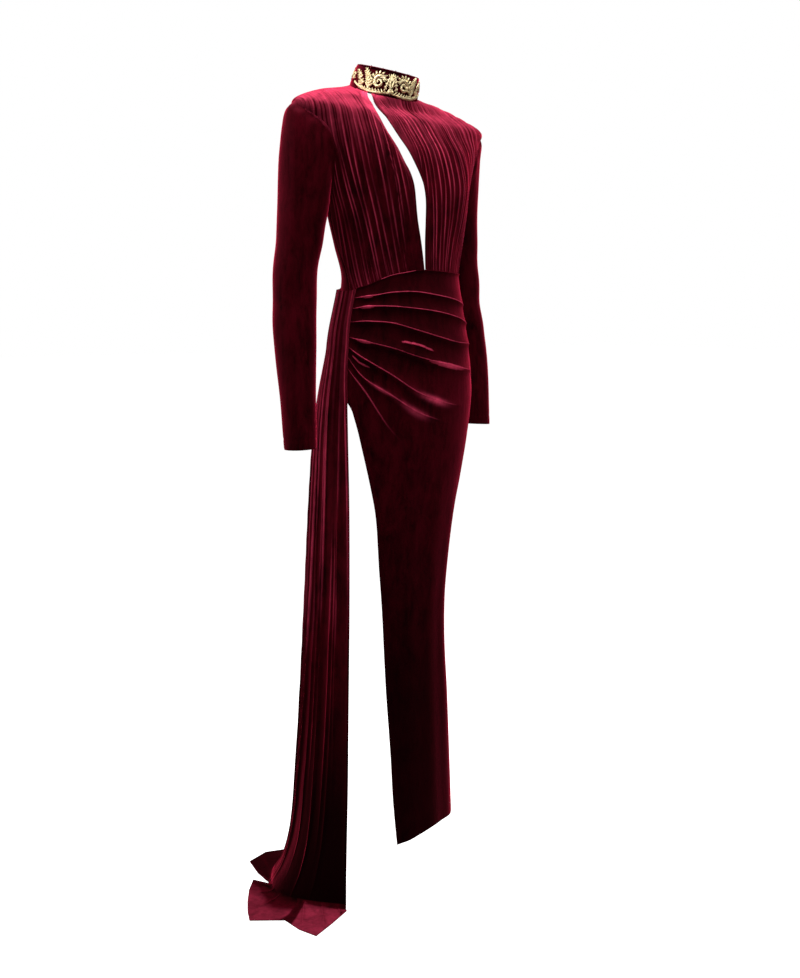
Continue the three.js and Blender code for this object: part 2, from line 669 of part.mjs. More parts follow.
// The back runs from the left side seam round to the hip seam, and below the hip its edge
// sweeps back to the middle, so the right leg is free.
const BACK_ROWS = table(['seam', 'edgeAngle', 'edge'], [
  [1246, 377, 1217], [1210, 375.8, 1184], [1175, 375.8, 1142], [1140, 376.4, 1110],
  [1090, 377.2, 1060], [1044, 378.1, 1014], [1026, 356, 1008], [1012, 329, 1004],
  [998, 306, 1000], [976, 290, 991], [930, 280.5, 945], [865, 273.5, 875], [780, 267, 785],
  [680, 262, 680], [570, 258, 570], [460, 256, 460], [350, 254, 350], [240, 252, 240],
  [134, 250, 128]]);
const BACK_COLUMNS = 18;

function skirtBack() {
  const outer = [];
  const inner = [];
  BACK_ROWS.forEach((row, i) => {
    const outerRow = [];
    const innerRow = [];
    for (const u of steps(BACK_COLUMNS)) {
      const even = mix(LEFT_SEAM, row.edgeAngle, u);
      const gap = degreesFor(UNDER_SHIFT, hips, even, row.seam);
      const angle = even + (u === 0 ? gap : 0) - (u === 1 ? gap : 0);
      const level = i === 0 ? waist(angle) - UNDER_SHIFT : mix(row.seam, row.edge, u);
      const normal = outward(hips, angle, level);
      outerRow.push(hips(angle, level));
      innerRow.push(hips(angle, level).addScaledVector(normal, -CLOTH));
    }
    outer.push(outerRow);
    inner.push(innerRow);
  });
  addNode('skirt_back', wall(outer, inner));
}

skirtBack();

// ---------------------------------------------------------------- train
// It hangs in pleats from the right hip, widens to the floor and lies there in two lobes.

const TRAIN_TOP = { behindSeam: 0.9, backAngle: -27, drop: 2 };   // degrees, degrees, mm
const PLEATS = 7;
const COLUMNS_PER_PLEAT = 4;

// Plan of the hanging part: its front and back edges, and how far its middle bows outwards.
const CURTAIN = table(['height', 'frontX', 'frontY', 'backX', 'backY', 'bow', 'pleat'], [
  [14, -191, -76, -200, 178, 66, 1],
  [60, -189, -74, -196, 142, 53, 3.4],
  [130, -185, -71, -192, 117, 40, 5.4],
  [250, -178, -66, -189, 102, 31, 6.4],
  [400, -172, -61, -184, 91, 24, 7],
  [600, -164, -54, -175, 84, 20, 7],
  [800, -159, -47, -164, 81, 17, 6.6],
  [940, -157, -40, -154, 78, 15, 6],
  [1020, -153, -33, -149, 68, 13, 5.4],
  [1100, -147.6, -29.6, -141, 58, 10, 4.8]]);

// The hem on the floor, from the front corner round the two lobes to the back corner.
const TRAIN_HEM = table(['u', 'x', 'y'], [
  [0, -192, -80], [0.12, -252, -114], [0.214, -306, -142], [0.286, -316, -98], [0.357, -314, -44],
  [0.43, -370, -4], [0.5, -350, 36], [0.57, -326, 76], [0.643, -292, 126], [0.7, -256, 168],
  [0.75, -240, 130], [0.82, -228, 196], [0.893, -208, 261], [0.95, -152, 287], [1, -84, 270]]);

// Rows of the train: a share of the way down the hanging part, or out along the floor.
const HANGING_ROWS = 13;
const FLOOR_ROWS = table(['out', 'height'], [
  [0.04, 9.5], [0.12, 6], [0.26, 3.9], [0.5, 3.1], [0.75, 2.9], [1, 2.9]]);

const APEX = 1004;               // top of the leg slit
const TRAIN_STAND = SEAM * 3 + TRAIN_CLOTH;

function hipAngle(u, height) {
  return mix(frontEdgeAngle(Math.max(height, APEX)) - TRAIN_TOP.behindSeam, TRAIN_TOP.backAngle, u);
}

function hipLine(u, height) {
  const angle = hipAngle(u, height);
  return hips(angle, height).addScaledVector(outward(hips, angle, height), TRAIN_STAND);
}

function hangingPoint(u, height) {
  const row = read(CURTAIN, 'height', height);
  const x = mix(row.frontX, row.backX, u) - row.bow * Math.sin(Math.PI * u);
  const y = mix(row.frontY, row.backY, u);
  return point(x, y, height);
}

// Moves a point of the train out of the hip that it hangs over.
function clearOfHip(spot) {
  const ring = read(SKIRT, 'level', spot.z + SHOULDER_LINE);
  const depth = (spot.y < ring.y ? ring.front : ring.back) + TRAIN_STAND;
  const share = Math.hypot((spot.x - ring.x) / (ring.side + TRAIN_STAND), (spot.y - ring.y) / depth);
  if (share >= 1) return spot;
  spot.x = ring.x + (spot.x - ring.x) / share;
  spot.y = ring.y + (spot.y - ring.y) / share;
  return spot;
}

function trainWave(u) {
  const pleat = Math.round(u * PLEATS);
  const wave = 0.5 - 0.5 * Math.cos(2 * Math.PI * u * PLEATS);
  return wave * mix(0.65, 1, uneven(pleat + 31)) * smooth(u / 0.03) * smooth((1 - u) / 0.03);
}

// The smooth middle of the train, before its pleats are raised.
function trainBase(u, v) {
  const share = HANGING_ROWS / (HANGING_ROWS + FLOOR_ROWS.length);
  if (v <= share) {
    const top = waist(hipAngle(u, SHOULDER_LINE)) - TRAIN_TOP.drop;
    const height = mix(top, CURTAIN[0].height, v / share);
    const free = smooth((top - height) / (top - APEX));
    const spot = hipLine(u, Math.max(height, APEX)).setZ(height - SHOULDER_LINE);
    return clearOfHip(spot.lerp(hangingPoint(u, height), free));
  }
  const along = (v - share) / (1 - share);
  const row = read([{ row: 0, out: 0, height: CURTAIN[0].height },
    ...FLOOR_ROWS.map((entry, i) => ({ row: i + 1, ...entry }))], 'row', along * FLOOR_ROWS.length);
  const foot = hangingPoint(u, CURTAIN[0].height);
  const edge = read(TRAIN_HEM, 'u', u);
  return point(mix(foot.x, edge.x, row.out), mix(foot.y, edge.y, row.out), row.height);
}

function train() {
  const columns = PLEATS * COLUMNS_PER_PLEAT;
  const rowCount = HANGING_ROWS + FLOOR_ROWS.length;
  const outer = [];
  const inner = [];
  for (const v of steps(rowCount)) {
    const outerRow = [];
    const innerRow = [];
    for (const u of steps(columns)) {
      const step = 0.004;
      const [u0, u1] = [Math.max(u - step, 0), Math.min(u + step, 1)];
      const [v0, v1] = [Math.max(v - step, 0), Math.min(v + step, 1)];
      const round = trainBase(u1, v).sub(trainBase(u0, v));
      const down = trainBase(u, v1).sub(trainBase(u, v0));
      const normal = round.cross(down).normalize();
      if (normal.x > 0 && Math.abs(normal.z) < 0.5) normal.negate();
      if (normal.z < -0.5) normal.negate();
      const base = trainBase(u, v);
      const height = base.z + SHOULDER_LINE;
      const pleat = height < CURTAIN[0].height ? 0 : read(CURTAIN, 'height', height).pleat;
      const lift = pleat * trainWave(u);
      outerRow.push(base.clone().addScaledVector(normal, lift));
      innerRow.push(base.clone().addScaledVector(normal, lift - TRAIN_CLOTH));
    }
    outer.push(outerRow);
    inner.push(innerRow);
  }
  addNode('train', wall(outer, inner));
}

train();

export default gown;
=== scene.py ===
import math

import bmesh
import bpy
import numpy as np
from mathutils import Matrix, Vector


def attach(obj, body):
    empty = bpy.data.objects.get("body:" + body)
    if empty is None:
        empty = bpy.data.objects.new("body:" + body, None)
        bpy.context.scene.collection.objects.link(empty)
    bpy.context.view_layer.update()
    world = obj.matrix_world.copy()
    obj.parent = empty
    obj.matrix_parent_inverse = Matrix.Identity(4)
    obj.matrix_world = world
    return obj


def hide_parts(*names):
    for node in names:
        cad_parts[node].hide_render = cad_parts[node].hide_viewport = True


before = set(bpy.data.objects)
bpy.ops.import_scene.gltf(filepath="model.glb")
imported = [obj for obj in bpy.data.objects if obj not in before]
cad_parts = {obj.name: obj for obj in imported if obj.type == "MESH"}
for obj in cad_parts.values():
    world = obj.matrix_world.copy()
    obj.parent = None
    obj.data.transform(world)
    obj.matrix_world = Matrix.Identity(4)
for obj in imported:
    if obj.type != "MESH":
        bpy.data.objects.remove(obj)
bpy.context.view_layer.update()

# ---------------- studio
# A white studio: a pale floor, a wide soft light overhead, one behind on the right, and weaker
# ones on the left and in front. The camera stands at the right front, at the waist's height.

SHOULDER_HEIGHT = 1.560  # metres from the floor up to the origin
VIEW_ANGLE = math.radians(37)  # round from the front, towards the wearer's right
VIEW_DISTANCE = 3.0
VIEW_HEIGHT = 1.190
VIEW_PITCH = math.radians(7.04)
LENS = 54.85  # mm
FLOOR_REACH = 30  # metres
FLOOR_GLOW = 0.93  # makes the floor as white as the room to the camera
ROOM_GLOW = 0.09
LAMPS = [  # name, watts, size, place and what it is turned to, in metres
    ("light_overhead", 54, (1.0, 1.0), (-0.35, -0.5, 1.4), (0, 0, 0)),
    ("light_right", 40, (0.4, 1.2), (-1.25, 1.15, 0.75), (-0.1, 0, 0)),
    ("light_left", 11, (0.4, 1.2), (1.7, -0.7, 0.8), (0, 0, 0.1)),
    ("light_front", 5, (0.8, 0.8), (-1.2, -2.2, 1.4), (0, 0, 0))]

camera_data = bpy.data.cameras.new("camera")
camera_data.lens = LENS
camera = bpy.data.objects.new("camera", camera_data)
across = Vector((math.sin(VIEW_ANGLE), math.cos(VIEW_ANGLE), 0))
camera.location = -across * VIEW_DISTANCE + Vector((0, 0, VIEW_HEIGHT - SHOULDER_HEIGHT))
aim = across * math.cos(VIEW_PITCH) - Vector((0, 0, math.sin(VIEW_PITCH)))
camera.rotation_euler = aim.to_track_quat("-Z", "Y").to_euler()
bpy.context.collection.objects.link(camera)
bpy.context.scene.camera = camera


def linear(text):
    """An sRGB hex colour as linear RGBA."""
    parts = [int(text[i:i + 2], 16) / 255 for i in (1, 3, 5)]
    return [c / 12.92 if c <= 0.04045 else ((c + 0.055) / 1.055) ** 2.4 for c in parts] + [1]


def add_node(tree, kind, settings=(), at=(), **links):
    """Adds a node, sets its properties and inputs, and links outputs to its inputs. Inputs that
    have no name of their own are given by number, each with its value or the output it takes."""
    node = tree.nodes.new("ShaderNode" + kind)
    for name, value in dict(settings).items():
        if name in node.inputs:
            node.inputs[name].default_value = value
        else:
            setattr(node, name, value)
    for number, source in dict(at).items():
        if isinstance(source, bpy.types.NodeSocket):
            tree.links.new(source, node.inputs[number])
        else:
            node.inputs[number].default_value = source
    for name, source in links.items():
        tree.links.new(source, node.inputs[name.replace("_", " ")])
    return node


def new_material(name):
    material = bpy.data.materials.new(name)
    material.use_nodes = True
    material.node_tree.nodes.clear()
    return material, material.node_tree


def add_ramp(tree, source, *stops):
    """A colour ramp along the source's values, from the place and colour of its two ends."""
    node = add_node(tree, "ValToRGB", Fac=source)
    for end, (place, colour) in zip(node.color_ramp.elements, stops):
        end.position, end.color = place, linear(colour)
    return node


for name, watts, size, place, target in LAMPS:
    light = bpy.data.lights.new(name, "AREA")
    light.energy = watts
    light.shape = "RECTANGLE"
    light.size, light.size_y = size
    lamp = bpy.data.objects.new(name, light)
    lamp.location = place
    lamp.rotation_euler = (Vector(target) - Vector(place)).to_track_quat("-Z", "Y").to_euler()
    bpy.context.collection.objects.link(lamp)
bpy.context.scene.view_settings.view_transform = "Standard"

world = bpy.data.worlds.new("studio_white")
world.use_nodes = True
tree = world.node_tree
tree.nodes.clear()
ray = add_node(tree, "LightPath")
dim = add_node(tree, "Background", {"Color": linear("#ffffff"), "Strength": ROOM_GLOW})
white = add_node(tree, "Background", {"Color": linear("#ffffff"), "Strength": 1.0})
seen = add_node(tree, "MixShader", at={
    0: ray.outputs["Is Camera Ray"], 1: dim.outputs[0], 2: white.outputs[0]})
add_node(tree, "OutputWorld", Surface=seen.outputs[0])
bpy.context.scene.world = world


def made(work, name):
    """The object of a finished bmesh."""
    data = bpy.data.meshes.new(name)
    work.to_mesh(data)
    work.free()
    piece = bpy.data.objects.new(name, data)
    bpy.context.collection.objects.link(piece)
    return piece


floor_mesh = bmesh.new()
bmesh.ops.create_grid(floor_mesh, x_segments=1, y_segments=1, size=FLOOR_REACH)
bmesh.ops.translate(floor_mesh, verts=floor_mesh.verts, vec=(0, 0, -SHOULDER_HEIGHT))
floor = made(floor_mesh, "studio_floor")
# Matt white paint, rolled on, without any gloss.
paint, tree = new_material("floor_paint")
ray = add_node(tree, "LightPath")
dim = add_node(tree, "BsdfDiffuse", {"Color": linear("#e8e8e8")})
white = add_node(tree, "BsdfPrincipled", {
    "Base Color": linear("#fbfbfa"), "Roughness": 0.9, "Emission Color": linear("#ffffff"),
    "Emission Strength": FLOOR_GLOW})
seen = add_node(tree, "MixShader", at={
    0: ray.outputs["Is Camera Ray"], 1: dim.outputs[0], 2: white.outputs[0]})
add_node(tree, "OutputMaterial", Surface=seen.outputs[0])
floor.data.materials.append(paint)

# ---------------- bodice fronts
# Two crushed-velvet fronts, cut wide and gathered into the shoulder seams and the waist.
# Their inner edges are turned in and stand apart as a slit from the neck to the waist.

BUST_ANGLE = 34  # each side of centre front
BUST_SPREAD = 20  # degrees over which each side of the bust fades
NECK_LEVEL = 1585  # levels are heights above the floor, in mm
SHOULDER_TIP = 1541
VELVET_THICK = 1.8  # mm
ORIGIN_HEIGHT = SHOULDER_HEIGHT * 1000
UPWARD_PAINTED_HIGHLIGHT = 0.52  # painted highlight where the cloth faces upwards, as if lit from overhead


def table(columns, rows):
    return dict(zip(columns, np.array(rows, float).T))


def read(rows, key, at):
    """A smooth curve through the rows of a table, at any values of its key column."""
    x = rows[key]
    at = np.clip(at, x[0], x[-1])
    i = np.clip(np.searchsorted(x, at, side="right") - 1, 0, len(x) - 2)
    before, after = np.maximum(i - 1, 0), np.minimum(i + 2, len(x) - 1)
    span = x[i + 1] - x[i]
    t = (at - x[i]) / span
    result = {}
    for name, y in rows.items():
        slope_a = (y[i + 1] - y[before]) / (x[i + 1] - x[before])
        slope_b = (y[after] - y[i]) / (x[after] - x[i])
        result[name] = ((2 * t**3 - 3 * t**2 + 1) * y[i] + (t**3 - 2 * t**2 + t) * span * slope_a
                        + (3 * t**2 - 2 * t**3) * y[i + 1] + (t**3 - t**2) * span * slope_b)
    return result


def mix(a, b, t):
    return a + (b - a) * t


def smooth(t):
    t = np.clip(t, 0, 1)
    return t * t * (3 - 2 * t)


def split(v, share):
    """How far v is through the part that ends at the share, and through the rest."""
    return np.clip(v / share, 0, 1), np.clip((v - share) / (1 - share), 0, 1)


def swell(at, middle, spread):
    return np.exp(-(((at - middle) / spread) ** 2))


def uneven(index):
    """A repeatable number from 0 to 1 for each gather or fold."""
    return abs(math.sin(index * 12.9898 + 4.1) * 43758.5453) % 1


TORSO = table(["level", "x", "y", "side", "front", "back", "bust", "rake", "shoulder", "lean"], [
    [1185, 0, 0, 137, 101, 103, 0, 0, 0, 0],
    [1245, 0, 0, 127, 96, 93, 0, 0, 0, 0],
    [1305, -1, 4, 137, 102, 106, 3, 0, 0, 0],
    [1365, -3, 7, 149, 108, 113, 12, 0, 0, 0],
    [1420, -4, 9, 159, 109, 112, 18, 0, 0, 0],
    [1480, -5, 12, 185, 104, 107, 8, 2, 3, 0.035],
    [1520, -7, 17, 212, 90, 106, 1, 5, 5, 0.06],
    [1545, -8, 21, 219, 78, 102, 0, 8, 8, 0.07],
    [1565, -10, 29, 150, 62, 90, 0, 16, 8, 0.07],
    [1585, -12, 38, 68, 66, 66, 0, 21, 0, 0.05]])

WAIST = table(["angle", "level"], [
    [-90, 1236], [-50, 1226], [-20, 1216], [6, 1214], [17, 1217], [31, 1224], [42, 1234],
    [54, 1243], [66, 1248], [79, 1252.5], [93, 1252], [110, 1250], [130, 1248], [180, 1246],
    [230, 1241], [270, 1236], [310, 1226], [340, 1216], [366, 1214], [377, 1217]])


def torso(angle, level):
    """A point of the upper body: angle 0 at the wearer's right, 90 in front, 180 at the left."""
    ring = read(TORSO, "level", level)
    across, forward = np.cos(np.radians(angle)), np.sin(np.radians(angle))
    bust = ring["bust"] * swell(np.abs(angle - 90), BUST_ANGLE, BUST_SPREAD)
    x = ring["x"] - ring["side"] * across
    y = ring["y"] - np.where(forward > 0, ring["front"], ring["back"]) * forward - bust
    rise = ring["rake"] * (1 - forward) + ring["shoulder"] * across**2 - ring["lean"] * x
    return np.stack([x, y, level + rise - ORIGIN_HEIGHT], -1)


def waist(angle):
    return read(WAIST, "angle", angle)["level"]


def unit(vectors):
    return vectors / np.maximum(np.linalg.norm(vectors, axis=-1, keepdims=True), 1e-9)


def outward(form, angle, level, step=0.5):
    around = form(angle + step, level) - form(angle - step, level)
    up = form(angle, level + step) - form(angle, level - step)
    return unit(np.cross(around, up))


def lifted(form, angle, level, lift):
    return form(angle, level) + outward(form, angle, level) * np.asarray(lift)[..., None]


def nearest(form, places, angle, level, rounds=12):
    """Angle and level of the spots of a form nearest to the places, from a first guess."""
    for _ in range(rounds):
        away = places - form(angle, level)
        around = form(angle + 0.5, level) - form(angle - 0.5, level)
        up = form(angle, level + 0.5) - form(angle, level - 0.5)
        aa, uu, au = (around**2).sum(-1), (up**2).sum(-1), (around * up).sum(-1)
        ra, ru = (away * around).sum(-1), (away * up).sum(-1)
        even = np.maximum(aa * uu - au**2, 1e-9)
        angle = angle + np.clip((ra * uu - ru * au) / even, -5, 5)
        level = level + np.clip((ru * aa - ra * au) / even, -10, 10)
    return angle, level


def cloth(name, columns, rows, form, turn=False, closed=False, thick=VELVET_THICK):
    """A sheet on a grid of shares (u, v), with its wall on the inside. The form gives each spot's
    place in mm and its painted light: painted highlight above zero, painted shade below."""
    sheet = bmesh.new()
    sheet.loops.layers.uv.new("cut")
    painted_light_layer = sheet.verts.layers.float.new("painted_light_layer")
    bmesh.ops.create_grid(sheet, x_segments=columns, y_segments=rows, size=0.5, calc_uvs=True)
    share = np.array([vert.co[:2] for vert in sheet.verts]) + 0.5
    places, painted_light = form(share[:, 0], share[:, 1])
    for vert, place, amount in zip(sheet.verts, places / 1000, np.broadcast_to(painted_light, len(share))):
        vert.co = place
        vert[painted_light_layer] = amount
    if closed:
        bmesh.ops.remove_doubles(sheet, verts=sheet.verts, dist=1e-5)
    if turn:
        bmesh.ops.reverse_faces(sheet, faces=sheet.faces)
    sheet.normal_update()
    # A painted highlight brightens the colour where the cloth faces upwards.
    for vert in sheet.verts:
        vert[painted_light_layer] += UPWARD_PAINTED_HIGHLIGHT * max(vert.normal.z, 0) ** 5
    for edge in sheet.edges:
        edge.smooth = not edge.is_boundary
    for face in sheet.faces:
        face.smooth = True
    piece = made(sheet, name)
    wall = piece.modifiers.new("wall", "SOLIDIFY")
    wall.thickness = thick / 1000
    wall.offset = -1
    piece.data.materials.append(velvet)
    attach(piece, "root")
    return piece


# Crushed stretch velvet: a rayon pile, pressed flat in patches, on a knitted back. The pile is
# nearly black seen straight on and glows pink where it is seen or lit at a grazing angle. A painted
# highlight brightens the colour towards pink along the folds and where the cloth faces upwards, and
# painted shade darkens it towards black in the valleys and low on the skirt and the train.
PILE_GRAIN = 0.0016  # metres; the real pile is finer, and too fine to show
CRUSH_PATCH = 0.030  # metres across a pressed patch
NAP_STREAK = 0.009

velvet, tree = new_material("crushed_rayon_velvet")
spot = add_node(tree, "TexCoord")
tall = add_node(tree, "Mapping", {"Scale": (1, 1, 0.45)}, Vector=spot.outputs["Object"])
patches = add_node(tree, "TexNoise", {
    "Scale": 1 / CRUSH_PATCH, "Detail": 4, "Roughness": 0.65, "Distortion": 0.5},
    Vector=tall.outputs[0])
taller = add_node(tree, "Mapping", {"Scale": (1, 1, 0.16)}, Vector=spot.outputs["Object"])
streaks = add_node(tree, "TexNoise", {
    "Scale": 1 / NAP_STREAK, "Detail": 3, "Roughness": 0.6, "Distortion": 0.3},
    Vector=taller.outputs[0])
grain = add_node(tree, "TexNoise", {
    "Scale": 1 / PILE_GRAIN, "Detail": 1, "Roughness": 0.5}, Vector=spot.outputs["Object"])
worn = add_node(tree, "Math", {"operation": "MULTIPLY_ADD"}, at={
    0: streaks.outputs["Fac"], 1: 0.5, 2: patches.outputs["Fac"]})
mottled = add_node(tree, "Math", {"operation": "MULTIPLY_ADD"}, at={
    0: grain.outputs["Fac"], 1: 0.22, 2: worn.outputs[0]})
shade = add_ramp(tree, mottled.outputs[0], (0.60, "#120001"), (1.05, "#3a020b"))
painted_light = add_node(tree, "Attribute", {"attribute_name": "painted_light_layer"})
patchy = add_node(tree, "MapRange", {
    "From Min": 0.55, "From Max": 0.95, "To Min": 0.6, "To Max": 1.2}, Value=worn.outputs[0])
# Painted highlight: the attribute's positive part, varied by the patches, mixes the colour towards
# pink.
painted_brightness = add_node(tree, "Math", {"operation": "MULTIPLY", "use_clamp": True}, at={
    0: painted_light.outputs["Fac"], 1: patchy.outputs[0]})
colour = add_node(tree, "Mix", {"data_type": "RGBA"}, at={
    0: painted_brightness.outputs[0], 6: shade.outputs[0], 7: linear("#ff5076")})
# Painted shade: the attribute's negative part darkens the colour towards black.
painted_shade_amount = add_node(tree, "MapRange", {
    "From Min": -1, "From Max": 0, "To Min": 1, "To Max": 0}, Value=painted_light.outputs["Fac"])
with_painted_shade = add_node(tree, "Mix", {"data_type": "RGBA"}, at={
    0: painted_shade_amount.outputs[0], 6: colour.outputs[2], 7: linear("#050000")})
flattened = add_node(tree, "Bump", {"Strength": 0.25, "Distance": 0.003},
                     Height=worn.outputs[0])
furry = add_node(tree, "Bump", {"Strength": 0.3, "Distance": 0.0006},
                 Height=grain.outputs["Fac"], Normal=flattened.outputs[0])
surface = add_node(tree, "BsdfPrincipled", {
    "Roughness": 0.8, "Specular IOR Level": 0.01, "Sheen Weight": 0.85, "Sheen Roughness": 0.32,
    "Sheen Tint": linear("#ff385e")}, Base_Color=with_painted_shade.outputs[2], Normal=furry.outputs[0])
add_node(tree, "OutputMaterial", Surface=surface.outputs[0])

SIDES = {  # to_form carries an angle of the right side over to this one; the depth is in mm
    "right": {"to_form": lambda angle: angle, "outwards": -1, "armhole_depth": 141},
    "left": {"to_form": lambda angle: 180 - angle, "outwards": 1, "armhole_depth": 163}}
ARMHOLE = table(["around", "angle", "drop"], [
    [-30, -19, 0.07], [0, -5, 0], [30, 10, 0.07], [55, 22, 0.16], [80, 26, 0.29],
    [110, 20, 0.5], [145, 9, 0.8], [180, -4, 1], [215, -17, 0.8], [250, -29, 0.5],
    [280, -35, 0.29], [305, -31, 0.16], [330, -19, 0.07], [360, -5, 0], [390, 10, 0.07]])
SIDE_SEAM = table(["up", "angle"], [[0, 6], [0.22, -3], [0.42, -9], [0.7, -11], [1, -4]])
SHOULDER_SEAM = table(["along", "angle", "level"], [
    [0, -5, 1541], [0.12, -3.5, 1547], [0.42, -1.5, 1559], [0.72, -0.5, 1571], [1, 0, 1585]])
SEAM_SHARE = 3 / 11  # how much of a panel's outer edge is side seam


def armhole(side, around):
    edge = read(ARMHOLE, "around", around)
    return edge["angle"], SHOULDER_TIP - side["armhole_depth"] * edge["drop"]


def outer_edge(side, facing, v):
    """The side seam from the waist to the underarm, then the armhole up to the shoulder tip."""
    up, on_armhole = split(v, SEAM_SHARE)
    seam_angle = read(SIDE_SEAM, "up", up)["angle"]
    seam_level = mix(waist(side["to_form"](seam_angle)), SHOULDER_TIP - side["armhole_depth"], up)
    turned = 180 * (1 - on_armhole)
    hole_angle, hole_level = armhole(side, turned if facing > 0 else 360 - turned)
    below = v <= SEAM_SHARE
    return np.where(below, seam_angle, hole_angle), np.where(below, seam_level, hole_level)


SLIT_RIGHT = table(["up", "angle", "level"], [
    [0, 84.8, 1253], [0.08, 83, 1284], [0.16, 81, 1314], [0.27, 78, 1352], [0.37, 76.4, 1389],
    [0.45, 75.3, 1420], [0.51, 73.6, 1440], [0.57, 70.6, 1461], [0.66, 68.4, 1496],
    [0.74, 68, 1522], [0.8, 67.8, 1541], [0.835, 65.2, 1554], [0.87, 59, 1565.5],
    [0.92, 44.5, 1576.5], [1, 27, 1585]])
SLIT_LEFT = table(["up", "angle", "level"], [
    [0, 94.2, 1253], [0.08, 94.6, 1284], [0.16, 94.7, 1314], [0.27, 94.2, 1352],
    [0.37, 93.9, 1389], [0.45, 95.4, 1420], [0.51, 98, 1440], [0.57, 101, 1461],
    [0.66, 104.9, 1496], [0.74, 106.6, 1525], [0.8, 108, 1544], [0.835, 111.4, 1557.5],
    [0.87, 118, 1568.5], [0.92, 133, 1579], [1, 146, 1585]])
FRONTS = {  # depth: of the gathers, in mm; neck_share: of the top edge, sewn to the neck band
    # One share per front gives a painted highlight beside its slit edge.
    "right": {"gathers": 15, "depth": 3.6, "neck_share": 10 / 48, "neck_end": 27,
              "edge": SLIT_RIGHT, "smooth_edge": 0.1, "painted_slit_highlight": 0.22,
              "columns": 180, "rows": 250, "flat": (0.27, 0.42), "area": 0.085},
    "left": {"gathers": 22, "depth": 3.2, "neck_share": 32 / 60, "neck_end": 146,
             "edge": SLIT_LEFT, "smooth_edge": 0.03, "painted_slit_highlight": 0,
             "columns": 260, "rows": 180, "flat": (0.34, 0.42), "area": 0.115}}
EASINGS = 300  # rounds that space the velvet evenly over the bust
SIDE_CURVE = 2.6  # how soon the side seam's curve dies out across the panel
SEARCHES = 14  # halvings that find a thread
THREADS_PAST = 0.3  # share of more gathers, which end at the slit instead
LAST_THREADS = 0.05  # share of the panel that gives the spacing of those
GATHER_UNEVEN = 0.55  # all in shares of the room between two gathers
GATHER_WIDTHS = (0.13, 0.30)
GATHER_FADE = 0.25  # share of a gather's length over which it starts or ends
FAINTEST_GATHER = 0.45
WHOLE_TURN = 6.28  # radians


def eased(values, rows):
    """The same values over the panel's grid, evened out between its four edges."""
    grid = values.reshape(rows + 1, -1).copy()
    for _ in range(EASINGS):
        around = grid[:-2, 1:-1] + grid[2:, 1:-1] + grid[1:-1, :-2] + grid[1:-1, 2:]
        grid[1:-1, 1:-1] = around / 4
    return grid.ravel()


def front_place(side, front, u, v):
    """Angle and level of a share of the panel, and the share u of the straight thread that runs
    there from the waist up to the shoulder seam or the neck, as the gathers are pulled."""
    def on_body(angle, level):
        return torso(side["to_form"](angle), level)

    def top_edge(u):
        neck = 1 - front["neck_share"]
        shoulder = read(SHOULDER_SEAM, "along", u / neck)
        around = front["neck_end"] * (u - neck) / (1 - neck)
        return on_body(np.where(u > neck, around, shoulder["angle"]),
                       np.where(u > neck, NECK_LEVEL, shoulder["level"]))

    def waist_edge(u):
        angle = mix(SIDE_SEAM["angle"][0], front["edge"]["angle"][0], u)
        return on_body(angle, waist(side["to_form"](angle)))

    def straight(u):
        return mix(waist_edge(u), top_edge(u), v[..., None])

    inward = np.array([-side["outwards"], -0.4, 0])  # from the side seam to the slit
    start_angle, start_level = outer_edge(side, 1, v)
    end = read(front["edge"], "up", v)
    a = u[..., None]
    bow_out = on_body(start_angle, start_level) - straight(np.zeros_like(u))
    bow_in = on_body(end["angle"], end["level"]) - straight(np.ones_like(u))
    places = straight(u) + bow_out * (1 - a) ** SIDE_CURVE + bow_in * a**2
    guess_angle = mix(start_angle, end["angle"], u)
    guess_level = mix(start_level, end["level"], u)
    angle, level = nearest(torso, places, side["to_form"](guess_angle), guess_level)
    angle = eased(angle, front["rows"])
    level = eased(np.minimum(level, NECK_LEVEL), front["rows"])
    spots = torso(angle, level)
    low, thread, high = np.zeros_like(u), u, np.ones_like(u)
    for _ in range(SEARCHES):
        thread = (low + high) / 2
        before = ((straight(thread) - spots) * inward).sum(-1) < 0
        low, high = np.where(before, thread, low), np.where(before, high, thread)
    last, near = straight(np.ones_like(u)), straight(np.full_like(u, 1 - LAST_THREADS))
    past = ((spots - last) * inward).sum(-1) / ((last - near) * inward).sum(-1) * LAST_THREADS
    return angle, level, np.where(past > 0, 1 + np.clip(past, 0, THREADS_PAST), thread)


def ridges(u, v, count, seed, sway=0.16, fine=0.075):
    """Gathers across u: narrow crests that wander, start and stop unevenly along v. Gives their
    height and a thin painted highlight line along each crest."""
    total, painted_crest_line = np.zeros_like(u), np.zeros_like(u)
    for i in range(count):
        place = (i + 0.5 + GATHER_UNEVEN * (uneven(i + seed) - 0.5)) / count
        drift = sway / count * np.sin(2.6 * v + WHOLE_TURN * uneven(i + seed + 50))
        away = np.abs(u - place - drift) * count
        width = mix(*GATHER_WIDTHS, uneven(3 * i + seed + 7))
        low = -0.4 + 0.75 * uneven(5 * i + seed + 11) ** 2
        high = 1.4 - 0.7 * uneven(7 * i + seed + 13) ** 2
        run = smooth((v - low) / GATHER_FADE) * smooth((high - v) / GATHER_FADE)
        run = run * mix(FAINTEST_GATHER, 1, uneven(11 * i + seed + 17))
        total += run * np.exp(-away / width)
        waves, start = 9 + 8 * uneven(i + seed + 23), WHOLE_TURN * uneven(i + seed + 29)
        bright = 0.62 + 0.38 * np.sin(waves * v + start)
        painted_crest_line = np.maximum(painted_crest_line, run * bright * swell(away, 0, fine))
    return total, painted_crest_line


